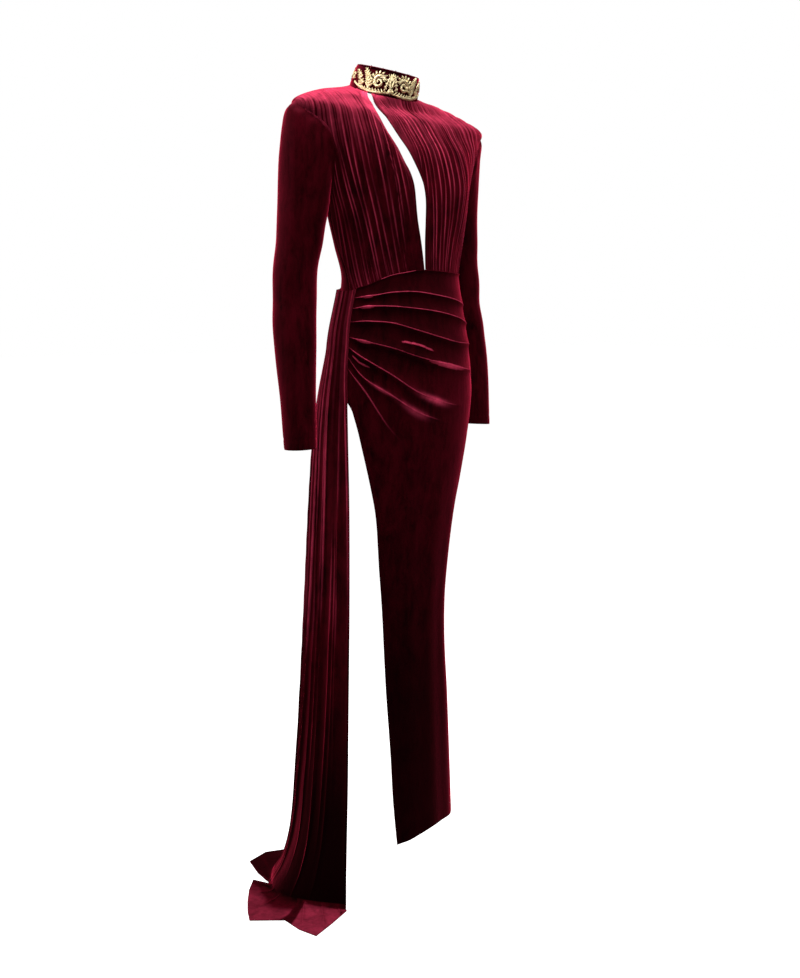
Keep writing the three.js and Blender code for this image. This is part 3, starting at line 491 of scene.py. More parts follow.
for name, side in SIDES.items():
    front = FRONTS[name]

    def form(u, v):
        angle, level, thread = front_place(side, front, u, v)
        gathers = front["gathers"] * (1 + THREADS_PAST)
        thread = thread / (1 + THREADS_PAST)
        wide, painted_crest_line = ridges(thread, v, round(gathers), seed=3, fine=0.09)
        small, small_crest_highlight = ridges(thread, v, round(gathers * 2), seed=90)
        painted_valley_shade = ridges(thread, v, round(gathers * 2), seed=140, fine=0.2)[1]
        # The gathers are flat in the seams, on the turned edge and by the shoulder's tip, and
        # the small ones only show near the seams.
        in_seams = mix(0.45, 1, smooth(v / 0.2)) * mix(0.35, 1, smooth((1 - v) / 0.15))
        inside = smooth(u / 0.05) * smooth((0.99 - front["smooth_edge"] - u) / 0.05)
        by_tip = 1 - 0.95 * smooth((v - 0.66) / 0.22) * (1 - smooth(u / 0.36))
        at_ends = 1 - smooth(v * 5) * smooth(5 - 5 * v)
        lift = front["depth"] * (wide + 0.35 * small * at_ends) * in_seams * inside * by_tip
        hem_fold = -0.7 * swell(u, 0.965, 0.006)
        on_neck = smooth((u - 1 + front["neck_share"]) / 0.02)
        seam_roll = -1.0 * (np.exp(-u / 0.008) + np.exp(-(1 - v) / 0.008) * (1 - on_neck))
        # Painted highlights run along the crests, on the upper chest and beside the right slit
        # edge, and painted shade lies in the valleys between the gathers.
        painted_light = np.maximum(0.6 * painted_crest_line, 0.35 * small_crest_highlight * at_ends) * inside
        painted_light = painted_light * by_tip * mix(0.7, 1, smooth(v * 2)) * mix(1, 0.3, smooth((v - 0.85) / 0.15))
        painted_valley_shade = painted_valley_shade * inside * smooth((v - 0.3) / 0.4)
        painted_light = painted_light + 0.10 * smooth((v - 0.5) / 0.35) - 0.42 * painted_valley_shade * by_tip
        beside_slit = smooth((u - 0.86) / 0.08) * smooth((v - 0.45) / 0.15)
        painted_light = painted_light + front["painted_slit_highlight"] * beside_slit
        return lifted(torso, angle, level, lift + hem_fold + seam_roll), painted_light

    piece = cloth(f"front_{name}", front["columns"], front["rows"], form, turn=name == "left")
    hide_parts(f"bodice_front_{name}")

# ---------------- bodice backs
# Two narrow velvet backs, one each side of an open back, from the waist to the neck band.
# They are joined to the fronts along the shoulders and the sides.

BACK_EDGE = table(["level", "angle"], [
    [1221, -28], [1290, -29], [1365, -31], [1425, -35], [1482, -43], [1522, -51], [1546, -57],
    [1568, -63], [1585, -68]])
BACK_EDGE_SHARE = 11 / 16  # the rest of the outer edge runs up the shoulder seam
BACK_COLUMNS = 50
BACK_ROWS = 120


for name, side in SIDES.items():

    def form(u, v):
        below = v <= BACK_EDGE_SHARE
        up, on_shoulder = split(v, BACK_EDGE_SHARE)
        angle, level = outer_edge(side, -1, up)
        seam = read(SHOULDER_SEAM, "along", on_shoulder)
        start_angle = np.where(below, angle, seam["angle"])
        start_level = np.where(below, level, seam["level"])
        spot_angle = mix(start_angle, read(BACK_EDGE, "level", start_level)["angle"], u)
        hem = waist(side["to_form"](spot_angle)) - waist(side["to_form"](start_angle))
        spot_level = start_level + hem * (1 - smooth(v / 0.06))
        pull = 0.8 * np.sin(9 * v + 3 * u) * np.sin(3.1 * u) + 0.5 * np.sin(23 * v - 5 * u) * u
        seam_roll = -1.2 * (np.exp(-u / 0.03) + np.exp(-v / 0.01))
        hem_fold = -0.6 * swell(u, 0.88, 0.02)
        lift = pull * smooth(v / 0.1) + seam_roll + hem_fold
        return lifted(torso, side["to_form"](spot_angle), spot_level, lift), 0.0

    piece = cloth(f"back_{name}", BACK_COLUMNS, BACK_ROWS, form, turn=name == "right")
    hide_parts(f"bodice_back_{name}")

# ---------------- sleeves
# Long one-piece velvet sleeves, eased into square shoulders and turned up at plain cuffs.
# A line of hem stitches shows as a shallow groove above each cuff edge.

SLEEVE_SIZES = ["along", "x", "y", "height", "reach", "depth", "tilt"]
SLEEVES = {
    "right": table(SLEEVE_SIZES, [
        [0, -193, 24, 1483, 90, 52, 67], [0.03, -201, 26, 1477, 88, 52, 62],
        [0.08, -204, 28, 1461, 82, 52, 57], [0.15, -205.5, 31, 1434, 72, 51, 50],
        [0.22, -206, 35, 1402, 60, 50, 39], [0.3, -207.5, 39, 1362, 51, 48.5, 26],
        [0.38, -211, 42, 1315, 46.5, 46, 12], [0.46, -218, 44, 1266, 43.5, 44, 4],
        [0.54, -222.5, 43, 1209, 42, 42.5, 0], [0.64, -226, 38, 1148, 41.5, 42, -2],
        [0.76, -228, 31, 1078, 39.5, 40, -3], [0.88, -230, 21, 996, 34.5, 35, -3],
        [1, -231, 14, 914, 31.5, 32, -3]]),
    "left": table(SLEEVE_SIZES, [
        [0, 181, 23, 1456, 84, 52, 67], [0.03, 185, 27, 1450, 81, 51, 64],
        [0.08, 184, 34, 1435, 74, 49, 60], [0.15, 184.5, 43, 1408, 63, 48, 51],
        [0.22, 186.5, 50, 1376, 51, 48, 37], [0.3, 188, 54, 1338, 44.5, 47, 20],
        [0.38, 190, 55, 1297, 42, 46, 8], [0.46, 193, 55, 1250, 41.5, 44.5, 3],
        [0.54, 198, 53, 1204, 41, 42.5, 0], [0.64, 205, 47, 1150, 40.5, 41, -2],
        [0.76, 209, 38, 1092, 38.5, 39, -3], [0.88, 211.5, 28, 1018, 34.5, 35, -3],
        [1, 212, 19, 942, 31.5, 32, -3]])}
SLEEVE_COLUMNS = 96
SLEEVE_ROWS = 170
HEAD_LENGTH = 0.2  # share of the sleeve over which the armhole's shape fades
CUFF_HEM = 0.97  # share where the hem stitches run
SEAM_TUCK = 2.6  # mm of the sleeve head that goes in under the bodice


for name, side in SIDES.items():

    def ring(along, around):
        row = read(SLEEVES[name], "along", along)
        centre = np.stack([row["x"], row["y"], row["height"] - ORIGIN_HEIGHT], -1)
        tilt, turn = np.radians(row["tilt"]), np.radians(around)
        spoke = np.stack([np.cos(tilt) * row["reach"] * side["outwards"] * np.cos(turn),
                          -row["depth"] * np.sin(turn),
                          np.sin(tilt) * row["reach"] * np.cos(turn)], -1)
        return centre, spoke

    def form(u, v):
        around, along = 360 * (u % 1), 1 - v
        centre, spoke = ring(along, around)
        first_centre, first_spoke = ring(np.zeros_like(u), around)
        angle, level = armhole(side, around)
        edge = torso(side["to_form"](angle), level)
        offset = edge - first_centre - first_spoke
        under = outward(torso, side["to_form"](angle), level) * -SEAM_TUCK
        tucked = (under + unit(edge - first_centre) * SEAM_TUCK) * np.exp(-along / 0.007)[..., None]
        fade = np.maximum(0, 1 - along / HEAD_LENGTH) ** 2
        skin = centre + spoke + offset * fade[..., None]
        away = unit(skin - centre)
        turn = np.radians(around)
        eased_in = 1.2 * np.exp(-along / 0.05) * np.sin(14 * turn) * smooth(along / 0.02)
        elbow = swell(along, 0.5, 0.14)
        drag = 1.5 * elbow * np.sin(38 * along + 1.6 * np.cos(turn) + 0.8)
        drag = drag * (0.5 + 0.5 * np.cos(turn - 0.9))
        soft = 0.8 * np.sin(15 * along + 2 * turn)
        soft = soft * smooth(along / 0.2) * smooth((1 - along) / 0.15)
        groove = -0.6 * swell(along, CUFF_HEM, 0.004)
        roll = -0.6 * np.exp(-(1 - along) / 0.004)
        return skin + tucked + away * (eased_in + drag + soft + groove + roll)[..., None], 0.0

    piece = cloth(f"arm_{name}", SLEEVE_COLUMNS, SLEEVE_ROWS, form, turn=name == "left",
                  closed=True)
    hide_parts(f"sleeve_{name}")

# ---------------- neck band
# A stiffened band of the same velvet stands round the neck and fastens at centre back.
# Its edges are turned in.

BAND_RISE = np.array([0.5, -15, 39])  # mm from its lower edge to its upper one
BAND_TALLER_IN_FRONT = 3  # mm, as the next two
BAND_TAPER = 6  # how much further in the upper edge stands
BAND_SEAT = 0.8  # gap between the bodice and the band
BAND_THICK = 2.2
BAND_COLUMNS = 200
BAND_ROWS = 16
BAND_HEIGHT = float(np.linalg.norm(BAND_RISE))
BAND_RADIUS = 66
BACK_JOIN = 0.8  # degrees from centre back to each end of the band
neck_centre = (torso(np.array([0.0]), np.array([NECK_LEVEL]))
               + torso(np.array([180.0]), np.array([NECK_LEVEL])))[0] / 2


def band_point(angle, up, out=0):
    base = torso(angle, np.full_like(angle, NECK_LEVEL))
    spoke = base - neck_centre
    spoke[..., 2] = 0
    spoke = unit(spoke)
    base[..., 2] += BAND_SEAT + BAND_TALLER_IN_FRONT * np.sin(np.radians(angle)) * up
    return base + BAND_RISE * up[..., None] + spoke * (out - BAND_TAPER * up)[..., None]


def band_form(u, v):
    rolled = -1.2 * (np.exp(-v / 0.05) + np.exp(-(1 - v) / 0.05))
    return band_point(mix(-90 + BACK_JOIN, 270 - BACK_JOIN, u), mix(-0.06, 1, v), rolled), 0.0


band = cloth("neck_band", BAND_COLUMNS, BAND_ROWS, band_form, thick=BAND_THICK)
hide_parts("collar")

# ---------------- gold applique
# Padded satin-stitch scrolls and leaves in gold thread, cut out and sewn to the neck band:
# a frond, a scroll, a small palmette, a scroll and a frond, in front and again behind.

THREAD_PITCH = 0.0009  # metres between stitches; the real thread is finer
TARNISH_PATCH = 0.00625  # metres

# Metallised thread laid in satin stitch: a soft, pale gold with fine lines across each strip,
# darker where the thread turns down at its edges.
gold, tree = new_material("gold_satin_stitch")
spot = add_node(tree, "TexCoord")
stitches = add_node(tree, "TexWave", {
    "Scale": 0.5 / THREAD_PITCH / 1000, "Distortion": 0.6, "Detail": 1, "bands_direction": "X"},
    Vector=spot.outputs["UV"])
tarnish = add_node(tree, "TexNoise", {
    "Scale": 1 / TARNISH_PATCH, "Detail": 3}, Vector=spot.outputs["Object"])
blend = add_node(tree, "Math", {"operation": "MULTIPLY_ADD"}, at={
    0: stitches.outputs["Fac"], 1: 0.45, 2: tarnish.outputs["Fac"]})
shade = add_ramp(tree, blend.outputs[0], (0.35, "#75602c"), (0.85, "#f6e6b4"))
corded = add_node(tree, "Bump", {"Strength": 0.6, "Distance": 0.0004},
                  Height=stitches.outputs["Fac"])
surface = add_node(tree, "BsdfPrincipled", {
    "Metallic": 0.6, "Roughness": 0.34}, Base_Color=shade.outputs[0], Normal=corded.outputs[0])
add_node(tree, "OutputMaterial", Surface=surface.outputs[0])

PAD_HEIGHT = 2.1  # mm, as all sizes of the strips
BASE_GAP = 0.1  # between the band and a strip
FULL_WIDTH = 1.2  # a narrower strip is lower, too
CORD_STEPS = 40
STEM_STEPS = 30
RIB_STEPS = 16
LEAF_STEPS = 9
PAD_PROFILE = [(-1, 0), (-0.8, 0.62), (-0.35, 0.95), (0.35, 0.95), (0.8, 0.62), (1, 0)]


def strip(work, path, widths, middle, high=PAD_HEIGHT):
    """A padded strip of stitching along a path of (across, up) in mm on the band's face."""
    path, widths = np.asarray(path, float), np.asarray(widths, float)
    run = np.gradient(path, axis=0)
    side = unit(np.stack([-run[:, 1], run[:, 0]], -1))
    length = np.concatenate([[0], np.cumsum(np.linalg.norm(np.diff(path, axis=0), axis=1))])
    layer = work.loops.layers.uv.verify()
    start = bmesh.ops.create_grid(
        work, x_segments=len(path) - 1, y_segments=len(PAD_PROFILE) - 1, size=0.5)
    share = np.array([vert.co[:2] for vert in start["verts"]]) + 0.5
    i = np.rint(share[:, 0] * (len(path) - 1)).astype(int)
    k = np.rint(share[:, 1] * (len(PAD_PROFILE) - 1)).astype(int)
    section = np.array(PAD_PROFILE)[k]
    flat = path[i] + side[i] * (section[:, :1] * widths[i][:, None])
    angle = middle + flat[:, 0] / math.radians(1) / BAND_RADIUS
    lift = BASE_GAP + section[:, 1] * high * np.minimum(1, widths[i] / FULL_WIDTH)
    places = band_point(angle, flat[:, 1] / BAND_HEIGHT * 1.05, lift) / 1000
    for vert, place in zip(start["verts"], places):
        vert.co = place
    where = {vert: (length[a], b * 1.5) for vert, a, b in zip(start["verts"], i, k)}
    for face in {face for vert in start["verts"] for face in vert.link_faces}:
        face.smooth = True
        for loop in face.loops:
            loop[layer].uv = where[loop.vert]


def spiral(across, up, hand, radius, turns, start, end_radius=2.2):
    t = np.linspace(0, 1, CORD_STEPS)
    turn = start + 2 * np.pi * turns * t
    size = mix(radius, end_radius, t**0.8)
    return np.stack([across + hand * np.cos(turn) * size, up + np.sin(turn) * size], -1)


def bow(root, tip, bend, steps):
    """A path from root to tip, bent to one side."""
    t = np.linspace(0, 1, steps)[:, None]
    root, tip = np.array(root, float), np.array(tip, float)
    run = tip - root
    return root + run * t + np.array([-run[1], run[0]]) * bend * (t * (1 - t)), run


def leaflet(work, root, tip, width, bend, middle):
    path, _ = bow(root, tip, bend, LEAF_STEPS)
    along = np.clip(np.linspace(0, 1, LEAF_STEPS) * 0.93 + 0.07, 0, 1)
    strip(work, path, width * np.sin(np.pi * along) ** 0.8 + 0.15, middle)


def frond(work, root, tip, bend, reach, count, middle):
    """An acanthus leaf: a curved rib with pointed leaflets on both sides."""
    rib, run = bow(root, tip, bend, RIB_STEPS)
    strip(work, rib, np.linspace(1.8, 0.7, RIB_STEPS), middle)
    for k in range(count):
        at = (k + 0.6) / count
        i = int(at * (RIB_STEPS - 2))
        along = unit(rib[i + 1] - rib[i])
        aside = np.array([-along[1], along[0]])
        for hand in (-1, 1):
            end = rib[i] + reach * (1 - 0.45 * at) * (0.66 * along + 0.75 * hand * aside)
            leaflet(work, rib[i], end, 2.1 * (1 - 0.35 * at), -0.3 * hand, middle)
    leaflet(work, rib[-2], rib[-1] + unit(run) * 4, 1.3, 0, middle)


SCROLL_ACROSS = 26  # mm from the middle of the applique
SCROLL_UP = 21  # mm above the band's lower edge
SCROLL_RADIUS = 13
LEAVES_ROUND = 9  # on the outside of each scroll
LEAVES_ON_STEM = 11
FRONDS = [  # root, tip, bend, reach and number of the leaflets on a side
    ((44, 5), (60, 37), 0.5, 13, 7), ((60, 5), (84, 31), 0.5, 11, 6)]


def applique(name, middle):
    """One half of the pattern and its mirror image, with the palmette between them."""
    work = bmesh.new()
    for hand in (-1, 1):
        hub = np.array([hand * SCROLL_ACROSS, SCROLL_UP])
        scroll = spiral(*hub, -hand, SCROLL_RADIUS, 1.55, 0.1 * np.pi, 2.0)
        strip(work, scroll, np.linspace(3.6, 1.7, CORD_STEPS), middle, PAD_HEIGHT * 1.2)
        for k in range(LEAVES_ROUND):
            turn = np.pi * mix(0.02, 1.1, k / (LEAVES_ROUND - 1))
            out = np.array([hand * np.cos(turn), np.sin(turn)])
            swirl = np.array([-out[1], out[0]]) * hand * 3.5
            root, tip = hub + out * 13.5, hub + out * 20.5 + swirl
            leaflet(work, root, tip, 2.1, 0.25 * hand, middle)
        t = np.linspace(0, 1, STEM_STEPS)[:, None]
        stem = np.hstack([hand * mix(2, 84, t), 5.5 - 4.5 * np.sin(np.pi * t * 0.9) + 7 * t**3])
        strip(work, stem, mix(1.3, 2.6, np.sin(np.pi * t[:, 0])), middle)
        for k in range(LEAVES_ON_STEM):
            foot = stem[2 + 2 * k]
            tip = foot + np.array([hand * 5.5, 7.5 - 0.2 * k])
            leaflet(work, foot, tip, 1.4, -0.3 * hand, middle)
        for root, tip, bend, reach, count in FRONDS:
            root, tip = (hand * root[0], root[1]), (hand * tip[0], tip[1])
            frond(work, root, tip, bend * hand, reach, count, middle)
        curl = spiral(hand * 93, 22, hand, 7.5, 1.2, 1.1 * np.pi, 1.6)
        strip(work, curl, np.linspace(2.5, 1.3, CORD_STEPS), middle)
        hook = [(hand * mix(1.5, 10, w), 22 + 9 * math.sin(math.pi * (1.5 * w - 0.25)))
                for w in np.linspace(0, 1, RIB_STEPS)]
        strip(work, hook, np.linspace(3.0, 1.4, RIB_STEPS), middle)
    for k in range(-2, 3):
        leaflet(work, (k * 1.2, 25), (k * 4.8, 41.5 - 1.6 * abs(k)), 2.3, 0.12 * k, middle)
        leaflet(work, (k * 0.8, 15), (k * 3.6, 2.5 + 1.5 * abs(k)), 1.6, -0.12 * k, middle)
    bmesh.ops.recalc_face_normals(work, faces=work.faces)
    piece = made(work, name)
    piece.data.materials.append(gold)
    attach(piece, "root")
    return piece


for place, middle in (("front", 64), ("back", 244)):
    stitched = applique(f"applique_{place}", middle)
    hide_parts(*[f"motif_{place}_{part}" for part in
                            ("palmette", "scroll_a", "scroll_b", "frond_a", "frond_b")])

# ---------------- skirt front
# One velvet panel, cut long on its right edge and drawn up there into the hip seam, so that
# folds fan across the hips. Below the seam its edge is turned in and falls as a leg slit.

SKIRT = table(["level", "x", "y", "side", "front", "back"], [
    [90, 0, -5, 116, 81, 77], [126, 0, -5, 115, 80, 76], [270, 0, -5, 109, 77, 72],
    [400, 0, -5, 103, 74, 69], [510, -1, -5, 96, 73, 69], [600, -1, -5, 96, 74, 71],
    [680, -2, -5, 104, 80, 77], [760, -3, -4, 117, 88, 86], [840, -2, -3, 134, 95, 98],
    [920, 0, -1, 149, 104, 110], [1000, 2, 0, 159, 108, 120], [1050, 2, 0, 158, 108, 119],
    [1115, 1, 0, 150, 106, 113], [1185, 0, 0, 137, 101, 103], [1245, 0, 0, 127, 96, 93],
    [1265, 0, 0, 126, 96, 92]])
FRONT_EDGE = table(["level", "angle"], [
    [106, 57.5], [199, 52.4], [282, 49.2], [343, 46.2], [425, 41.5], [506, 37.2], [587, 34.1],
    [628, 33.2], [669, 32.9], [710, 33.7], [751, 34.9], [791, 35], [831, 33.5], [871, 31.2],
    [914, 28.2], [950, 25.4], [984, 21.6], [1004, 19], [1014, 17.9], [1054, 17.4], [1117, 16.4],
    [1142, 15.8], [1184, 15.8], [1217, 17]])
FOLD_ANGLES = [17, 35, 55, 75, 95, 115, 145, 180]
FOLDS = [  # levels of each crest at those angles, height, where it ends
    ([1203, 1207, 1214, 1215, 1209, 1202, 1190, 1182], 5.5, 165),
    ([1183, 1187, 1187, 1183, 1177, 1168, 1153, 1142], 6.0, 168),
    ([1157, 1158, 1155, 1142, 1128, 1117, 1112, 1104], 6.5, 165),
    ([1127, 1119, 1108, 1091, 1078, 1068, 1058, 1050], 7.5, 145),
    ([1108, 1085, 1057, 1023, 1003, 992, 980, 968], 8.0, 116),
    ([1088, 1048, 1018, 985, 966, 950, 930, 915], 6.5, 98),
    ([1068, 1023, 950, 905, 888, 878, 866, 855], 5.5, 49)]
PAINTED_GLOWS = [  # wide painted highlights: fold, angle, spread in degrees, width in mm, share
    (0, 31, 6, 3, 0.5), (1, 31, 7, 3, 0.55), (3, 31, 7, 3, 0.6), (3, 104, 18, 4.5, 0.7),
    (4, 90, 10, 6, 0.8), (5, 47, 8, 3, 0.4), (5, 74, 9, 7, 0.4), (6, 38, 12, 2, 0.5)]
SHORT_FOLDS = [  # angles and levels of short creases between the folds, share of their painted highlight
    ([60, 68, 77, 93], [1121, 1118, 1113, 1098], 0.75),
    ([18, 28, 37, 42], [1098, 1080, 1071, 1062], 0.6)]
LOWER_EDGE = table(["step", "level"], [*enumerate([
    1068, 1036, 1004, 960, 910, 850, 770, 680, 580, 470, 350, 230, 106])])
HEM = table(["angle", "level"], [
    [57, 108], [70, 114], [84, 122], [104, 132], [142, 136], [180, 134], [250, 128]])
SKIRT_COLUMNS = 150
SKIRT_ROWS = 325
HIP_SEAM = 17  # degrees, where the folds are drawn up
LEFT_SEAM = 180
CREST_HIGHLIGHT_WIDTH = 0.8  # mm width of the painted highlight along a crest
CREASE_HIGHLIGHT_WIDTH = 2.2
FOLD_ROUNDING = 0.26  # share of the room above a crest
FOLD_UNDERCUT = 4.5  # mm
OVER_HIPS = 0.8  # mm that the panel stands off the hips
FOLD_SHARE = 0.62  # share of the panel's rows that the folds take
CREST_ROWS = 0.07  # how far those rows are drawn towards the crests
TOP_OVERLAP = 4  # mm of the top edge that laps over the bodice


def hips(angle, level):
    ring = read(SKIRT, "level", level)
    across, forward = np.cos(np.radians(angle)), np.sin(np.radians(angle))
    x = ring["x"] - ring["side"] * across
    y = ring["y"] - np.where(forward > 0, ring["front"], ring["back"]) * forward
    return np.stack([x, y, level - ORIGIN_HEIGHT], -1)


def fold_level(k, angle):
    """Level of crest k at an angle; crest 0 is the waist."""
    if k == 0:
        return waist(angle) + TOP_OVERLAP
    crest = {"angle": np.array(FOLD_ANGLES, float), "level": np.array(FOLDS[k - 1][0], float)}
    return read(crest, "angle", angle)["level"]


def skirt_front_form(u, v):
    in_folds, below_folds = split(1 - v, FOLD_SHARE)
    in_folds = in_folds * len(FOLDS)
    k = np.clip(np.floor(in_folds).astype(int), 0, len(FOLDS) - 1)
    in_folds = in_folds - CREST_ROWS * np.sin(2 * np.pi * in_folds)
    step = below_folds * LOWER_EDGE["step"][-1]
    edge_level = read(LOWER_EDGE, "step", step)["level"]
    starts = [float(fold_level(j, np.array([float(HIP_SEAM)]))[0]) for j in range(len(FOLDS) + 1)]
    start_level = np.where(step > 0, edge_level, np.interp(in_folds, range(len(starts)), starts))
    start = read(FRONT_EDGE, "level", start_level)["angle"]
    angle = mix(start, LEFT_SEAM, u)
    crests = np.stack([fold_level(j, angle) for j in range(len(FOLDS) + 1)])
    above = np.take_along_axis(crests, k[None], 0)[0]
    below = np.take_along_axis(crests, k[None] + 1, 0)[0]
    highest, lowest = LOWER_EDGE["level"][0], LOWER_EDGE["level"][-1]
    fallen = (highest - edge_level) / (highest - lowest)
    lower = mix(crests[-1], read(HEM, "angle", angle)["level"], fallen)
    at_start = mix(fold_level(len(FOLDS), start), read(HEM, "angle", start)["level"], fallen)
    lower = lower + (edge_level - at_start) * (1 - smooth((angle - start) / 45))
    level = np.where(step > 0, lower, mix(above, below, in_folds - k))

    lift, painted_light = np.full_like(u, OVER_HIPS), np.zeros_like(u)
    for j, (_, height, end) in enumerate(FOLDS):
        gap = level - crests[j + 1]
        room_above = np.maximum(crests[j] - crests[j + 1], 4)
        fade = 1 - smooth((angle - end + 50) / 65)
        grow = mix(0.55, 1, smooth((angle - HIP_SEAM) / 12))
        puff = 1 + 0.45 * swell(angle, 32, 5)
        upper = np.exp(-np.abs(gap) / (FOLD_ROUNDING * room_above))
        under = np.exp(-np.abs(gap) / FOLD_UNDERCUT)
        lift += height * fade * grow * puff * np.where(gap > 0, upper, under)
        # Painted highlight along each crest.
        shown = (1 - smooth((angle - end + 20) / 20)) * mix(0.4, 1, smooth((angle - HIP_SEAM) / 8))
        painted_light = np.maximum(painted_light, 0.7 * shown * swell(gap, 0, CREST_HIGHLIGHT_WIDTH))
    # Wide painted highlights below some crests.
    for j, at, spread, width, share in PAINTED_GLOWS:
        gap = level - crests[j + 1] + 0.4 * width
        glow = np.exp(-(((angle - at) / spread) ** 2) - (gap / width) ** 2)
        painted_light = np.maximum(painted_light, share * glow)
    for angles, levels, share in SHORT_FOLDS:
        gap = level - np.interp(angle, angles, levels)
        shown = smooth((angle - angles[0]) / 6) * smooth((angles[-1] - angle) / 10)
        lift += 3.0 * shown * np.exp(-np.abs(gap) / 4)
        # Painted highlight along each short crease.
        painted_light = np.maximum(painted_light, share * shown * swell(gap, 0, CREASE_HIGHLIGHT_WIDTH))
    # The top edge is turned and gets a painted highlight; below the folds the panel hangs in slight
    # waves.
    rim = np.exp(-(1 - v) / 0.006)
    painted_light = np.maximum(painted_light, 0.22 * rim * smooth((angle - 30) / 15) * smooth((100 - angle) / 30))
    lift = lift * (1 - smooth((angle - 165) / 15)) + 2.6 * np.exp(-(1 - v) / 0.012)
    hang = smooth((step - 1) / 3)
    turn = np.radians(angle)
    wave = 1.2 * np.sin(turn * 5 + 0.004 * level) + 0.9 * np.sin(turn * 11 + 1)
    lift = lift + hang * wave * smooth((angle - start) / 12) * smooth((LEFT_SEAM - angle) / 15)
    hem_fold = -0.8 * swell(angle - start, 6, 0.9) * smooth((step - 1.5) / 1)
    seam = -1.2 * np.exp(-(LEFT_SEAM - angle) / 1.2)
    # Painted shade darkens the panel below the knees and, between the folds, on the upper hips.
    painted_light = painted_light - 0.85 * smooth((860 - level) / 500) * smooth((150 - angle) / 30)
    painted_light = painted_light - 0.5 * (painted_light < 0.2) * smooth((level - 1040) / 60) * smooth((150 - angle) / 30)
    return lifted(hips, angle, level, lift + hem_fold + seam), painted_light


skirt_front = cloth("skirt_front_panel", SKIRT_COLUMNS, SKIRT_ROWS, skirt_front_form)
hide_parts("skirt_front")

# ---------------- skirt back
# A plainer velvet panel from the left side seam to the hip seam. Below the hip its free edge
# sweeps back to the middle, so that the right leg shows.

BACK_SWEEP = table(["down", "seam", "angle", "edge"], [
    [0, 1246, 377, 1217], [1, 1210, 375.8, 1184], [2, 1175, 375.8, 1142], [3, 1140, 376.4, 1110],
    [4, 1090, 377.2, 1060], [5, 1044, 378.1, 1014], [6, 1026, 356, 1008], [7, 1012, 329, 1004],
    [8, 998, 306, 1000], [9, 976, 290, 991], [10, 930, 280.5, 945], [11, 865, 273.5, 875],
    [12, 780, 267, 785], [13, 680, 262, 680], [14, 570, 258, 570], [15, 460, 256, 460],
    [16, 350, 254, 350], [17, 240, 252, 240], [18, 134, 250, 128]])
SKIRT_BACK_COLUMNS = 110
SKIRT_BACK_ROWS = 190


def skirt_back_form(u, v):
    row = read(BACK_SWEEP, "down", BACK_SWEEP["down"][-1] * (1 - v))
    angle = mix(LEFT_SEAM, row["angle"], u)
    level = mix(row["seam"], row["edge"], u)
    level = mix(level, waist(angle) + 1, np.exp(-(1 - v) / 0.02))
    wave = 1.1 * np.sin(np.radians(angle) * 6 + 0.01 * level)
    wave = wave * smooth(u / 0.1) * smooth((1 - u) / 0.08)
    hem_fold = -0.7 * swell(u, 0.95, 0.01)
    seam = -1.2 * np.exp(-u / 0.012)
    return lifted(hips, angle, level, wave + hem_fold + seam), 0.0


skirt_back = cloth("skirt_back_panel", SKIRT_BACK_COLUMNS, SKIRT_BACK_ROWS, skirt_back_form)
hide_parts("skirt_back")

# ---------------- train
# A wide velvet panel pleated into the right hip seam. It hangs over the skirt, opens towards
# the floor and lies there in two lobes, with its cut hem outermost.

CURTAIN = table(["height", "front_x", "front_y", "back_x", "back_y", "bow", "pleat"], [
    [14, -191, -76, -200, 178, 66, 1], [60, -189, -74, -196, 142, 53, 3.4],
    [130, -185, -71, -192, 117, 40, 5.4], [250, -178, -66, -189, 102, 31, 6.4],
    [400, -172, -61, -184, 91, 24, 7], [600, -164, -54, -175, 84, 20, 7],
    [800, -159, -47, -164, 81, 17, 6.6], [940, -157, -40, -154, 78, 15, 6],
    [1020, -153, -33, -149, 68, 13, 5.4], [1100, -147.6, -29.6, -141, 58, 10, 4.8]])
TRAIN_HEM = table(["u", "x", "y"], [
    [0, -192, -80], [0.12, -252, -114], [0.214, -306, -142], [0.286, -316, -98], [0.357, -314, -44],
    [0.43, -370, -4], [0.5, -350, 36], [0.57, -326, 76], [0.643, -292, 126], [0.7, -256, 168],
    [0.75, -240, 130], [0.82, -228, 196], [0.893, -208, 261], [0.95, -152, 287], [1, -84, 270]])
FLOOR_ROWS = table(["row", "out", "height"], [
    [0, 0, 14], [1, 0.04, 9.5], [2, 0.12, 6], [3, 0.26, 3.9], [4, 0.5, 3.1], [5, 0.75, 2.9],
    [6, 1, 2.9]])
# painted light on the part of the train that lies on the floor: painted highlight above zero,
# painted shade below
PAINTED_FLOOR_LIGHT = table(["u", "painted_brightness"], [
    [0, 0.2], [0.32, 0.2], [0.338, -0.3], [0.352, -0.3], [0.37, 0.16], [0.6, 0.16], [0.68, 0.05],
    [0.74, -1.1], [1, -1.5]])
TRAIN_COLUMNS = 280
TRAIN_ROWS = 150
TRAIN_THICK = 2.0  # mm
PLEATS = 11
CREASES = 9  # in the part that lies on the floor
CREASE_HEIGHT = 3.0  # mm
PAINTED_LOW_SHADE = 1.05  # how much painted shade darkens the train near the floor
SLOPE_STEP = 0.004  # share over which the train's slope is measured
HANGING_SHARE = 0.76  # the rest lies on the floor
APEX = 1004  # top of the leg slit
TRAIN_STAND = 3.5  # mm between the hip and the train's middle
TRAIN_LAP = 3  # mm that it reaches up over the bodice seam
BEHIND_SEAM = 0.9  # degrees
TRAIN_BACK_ANGLE = -27


def hip_angle(u, height):
    edge = read(FRONT_EDGE, "level", np.maximum(height, APEX))["angle"]
    return mix(edge - BEHIND_SEAM, TRAIN_BACK_ANGLE, u)


